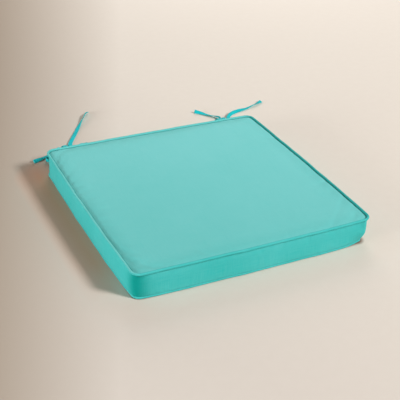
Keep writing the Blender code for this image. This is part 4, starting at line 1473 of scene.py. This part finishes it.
# The dark colour is painted light falloff towards the left, and also the colour of the specks; the far
# colour is painted light towards the rear right.
FLOOR_DARK = rgb(0.44, 0.365, 0.295)
FLOOR_FAR = rgb(0.86, 0.80, 0.73)
# Painted shadow colours: a browner tint where the pad's shadow falls to its left, and a dark contact
# shadow where the pad touches the floor.
FLOOR_SHADOW_BROWN = rgb(0.80, 0.33, 0.18)
CONTACT_SHADOW = rgb(0.20, 0.07, 0.04)
FLOOR_HALF = 4.0
TONE_ACROSS = (0.966, -0.258)
TONE_EDGE, TONE_WIDTH, TONE_SPREAD = 0.385, 0.235, 0.12
FAR_SPREAD = 0.4
FOOT_HALF, FOOT_CORNER = HALF - 0.016, 0.013
SHADOW_BROWN_REACH, SHADOW_BROWN_LEFT, SHADOW_BROWN_ROUND = 0.072, 0.78, 0.12
CONTACT_SHADOW_SHARE, CONTACT_SHADOW_REACH = 0.85, 0.005


def floor_finish():
    """Floor paint with painted light and shade: darker to the left and paler to the rear right, a browner
    painted shadow at the pad's left foot, and a dark painted contact shadow where the pad touches it.
    """
    r = Recipe("floor_paint")
    place = r.add("ShaderNodeTexCoord").outputs["Object"]
    parts = r.add("ShaderNodeSeparateXYZ", {"Vector": place})
    x, y = parts.outputs[0], parts.outputs[1]
    # Painted light falloff: the floor is coloured darker towards the left.
    across = r.math("MULTIPLY_ADD", x, TONE_ACROSS[0], r.math("MULTIPLY", y, TONE_ACROSS[1]).outputs[0])
    reach = r.math("MULTIPLY_ADD", y, TONE_SPREAD, TONE_WIDTH)
    painted_falloff = r.math("DIVIDE", r.math("ADD", across, TONE_EDGE), reach).outputs[0]
    speck = r.noise(place, 60.0, 4.0)
    # Painted light: the floor is coloured paler towards the rear right.
    far = r.math("MULTIPLY_ADD", y, FAR_SPREAD, x)
    pale = r.mix(r.ramp(far, -0.30, 0.35), FLOOR_PALE, FLOOR_FAR)
    paint = r.mix(r.ramp(painted_falloff, 0.0, 1.0), FLOOR_DARK, pale)
    paint = r.mix(r.ramp(speck, 0.3, 0.7, 0.0, 0.03), paint, FLOOR_DARK)
    # Painted shadow: browner beside the pad's left foot, where its shadow falls, and a dark painted
    # contact shadow where the pad touches the floor.
    beyond = [r.math("SUBTRACT", r.math("ABSOLUTE", v), FOOT_HALF) for v in (x, y)]
    beyond = [r.math("MAXIMUM", v, 0.0).outputs[0] for v in beyond]
    squares = [r.math("POWER", v, 2.0) for v in beyond]
    away = r.math("SUBTRACT", r.math("SQRT", r.math("ADD", *squares)), FOOT_CORNER).outputs[0]
    leftwards = r.ramp(r.math("ADD", x, HALF), -0.02, 0.02, 1.0, 0.0)
    leftwards = r.math("MULTIPLY", leftwards, r.ramp(y, -HALF + 0.02, -HALF + 0.12)).outputs[0]
    foot = r.ramp(away, 0.0, SHADOW_BROWN_REACH, 1.0, 0.0)
    share = r.math("MULTIPLY_ADD", leftwards, SHADOW_BROWN_LEFT, SHADOW_BROWN_ROUND)
    painted_shadow = r.math("MULTIPLY", foot, share).outputs[0]
    paint = r.mix(painted_shadow, paint, FLOOR_SHADOW_BROWN)
    paint = r.mix(r.ramp(away, -0.002, CONTACT_SHADOW_REACH, CONTACT_SHADOW_SHARE, 0.0), paint, CONTACT_SHADOW)
    r.set(Base_Color=paint, Roughness=r.ramp(speck, 0.3, 0.7, 0.9, 0.96))
    r.shader.inputs["Specular IOR Level"].default_value = 0.1
    return r.material


corners = [(x * FLOOR_HALF, y * FLOOR_HALF, 0.0) for x, y in ((-1, -1), (1, -1), (1, 1), (-1, 1))]
floor = new_object("floor", corners, [(0, 1, 2, 3)], smooth=False)
floor.data.materials.append(floor_finish())
print("floor", 2 * FLOOR_HALF, "m across")

# %% Hang the lights

# Each lamp: name, direction from the middle of the floor, distance, width, watts and colour.
LAMPS = (
    ("key_lamp", (0.511, -0.615, 0.602), 6.0, 1.2, 300.0, (1.0, 1.0, 1.0)),
    ("left_card", (-0.98, -0.15, 0.14), 2.5, 1.2, 48.0, (0.95, 1.0, 1.0)),
    ("rear_card", (0.39, 0.77, 0.45), 2.6, 1.6, 21.0, (1.0, 1.0, 1.0)),
)
SKY = rgb(1.0, 0.82, 0.64)
SKY_STRENGTH = 0.20


def soft_lamp(name, direction, distance, size, power, colour):
    """A round lamp that faces the middle of the floor."""
    direction = Vector(direction).normalized()
    light = bpy.data.lights.new(name, "AREA")
    light.shape = "DISK"
    light.size = size
    light.energy = power
    light.color = colour
    lamp = bpy.data.objects.new(name, light)
    bpy.context.scene.collection.objects.link(lamp)
    lamp.location = direction * distance
    lamp.rotation_mode = "QUATERNION"
    lamp.rotation_quaternion = direction.to_track_quat("Z", "Y")


for lamp_values in LAMPS:
    soft_lamp(*lamp_values)
sky = bpy.data.worlds.new("sky")
sky.use_nodes = True
background = sky.node_tree.nodes["Background"]
background.inputs["Color"].default_value = SKY
background.inputs["Strength"].default_value = SKY_STRENGTH
bpy.context.scene.world = sky
print("lit by", ", ".join(values[0] for values in LAMPS), "and the sky")
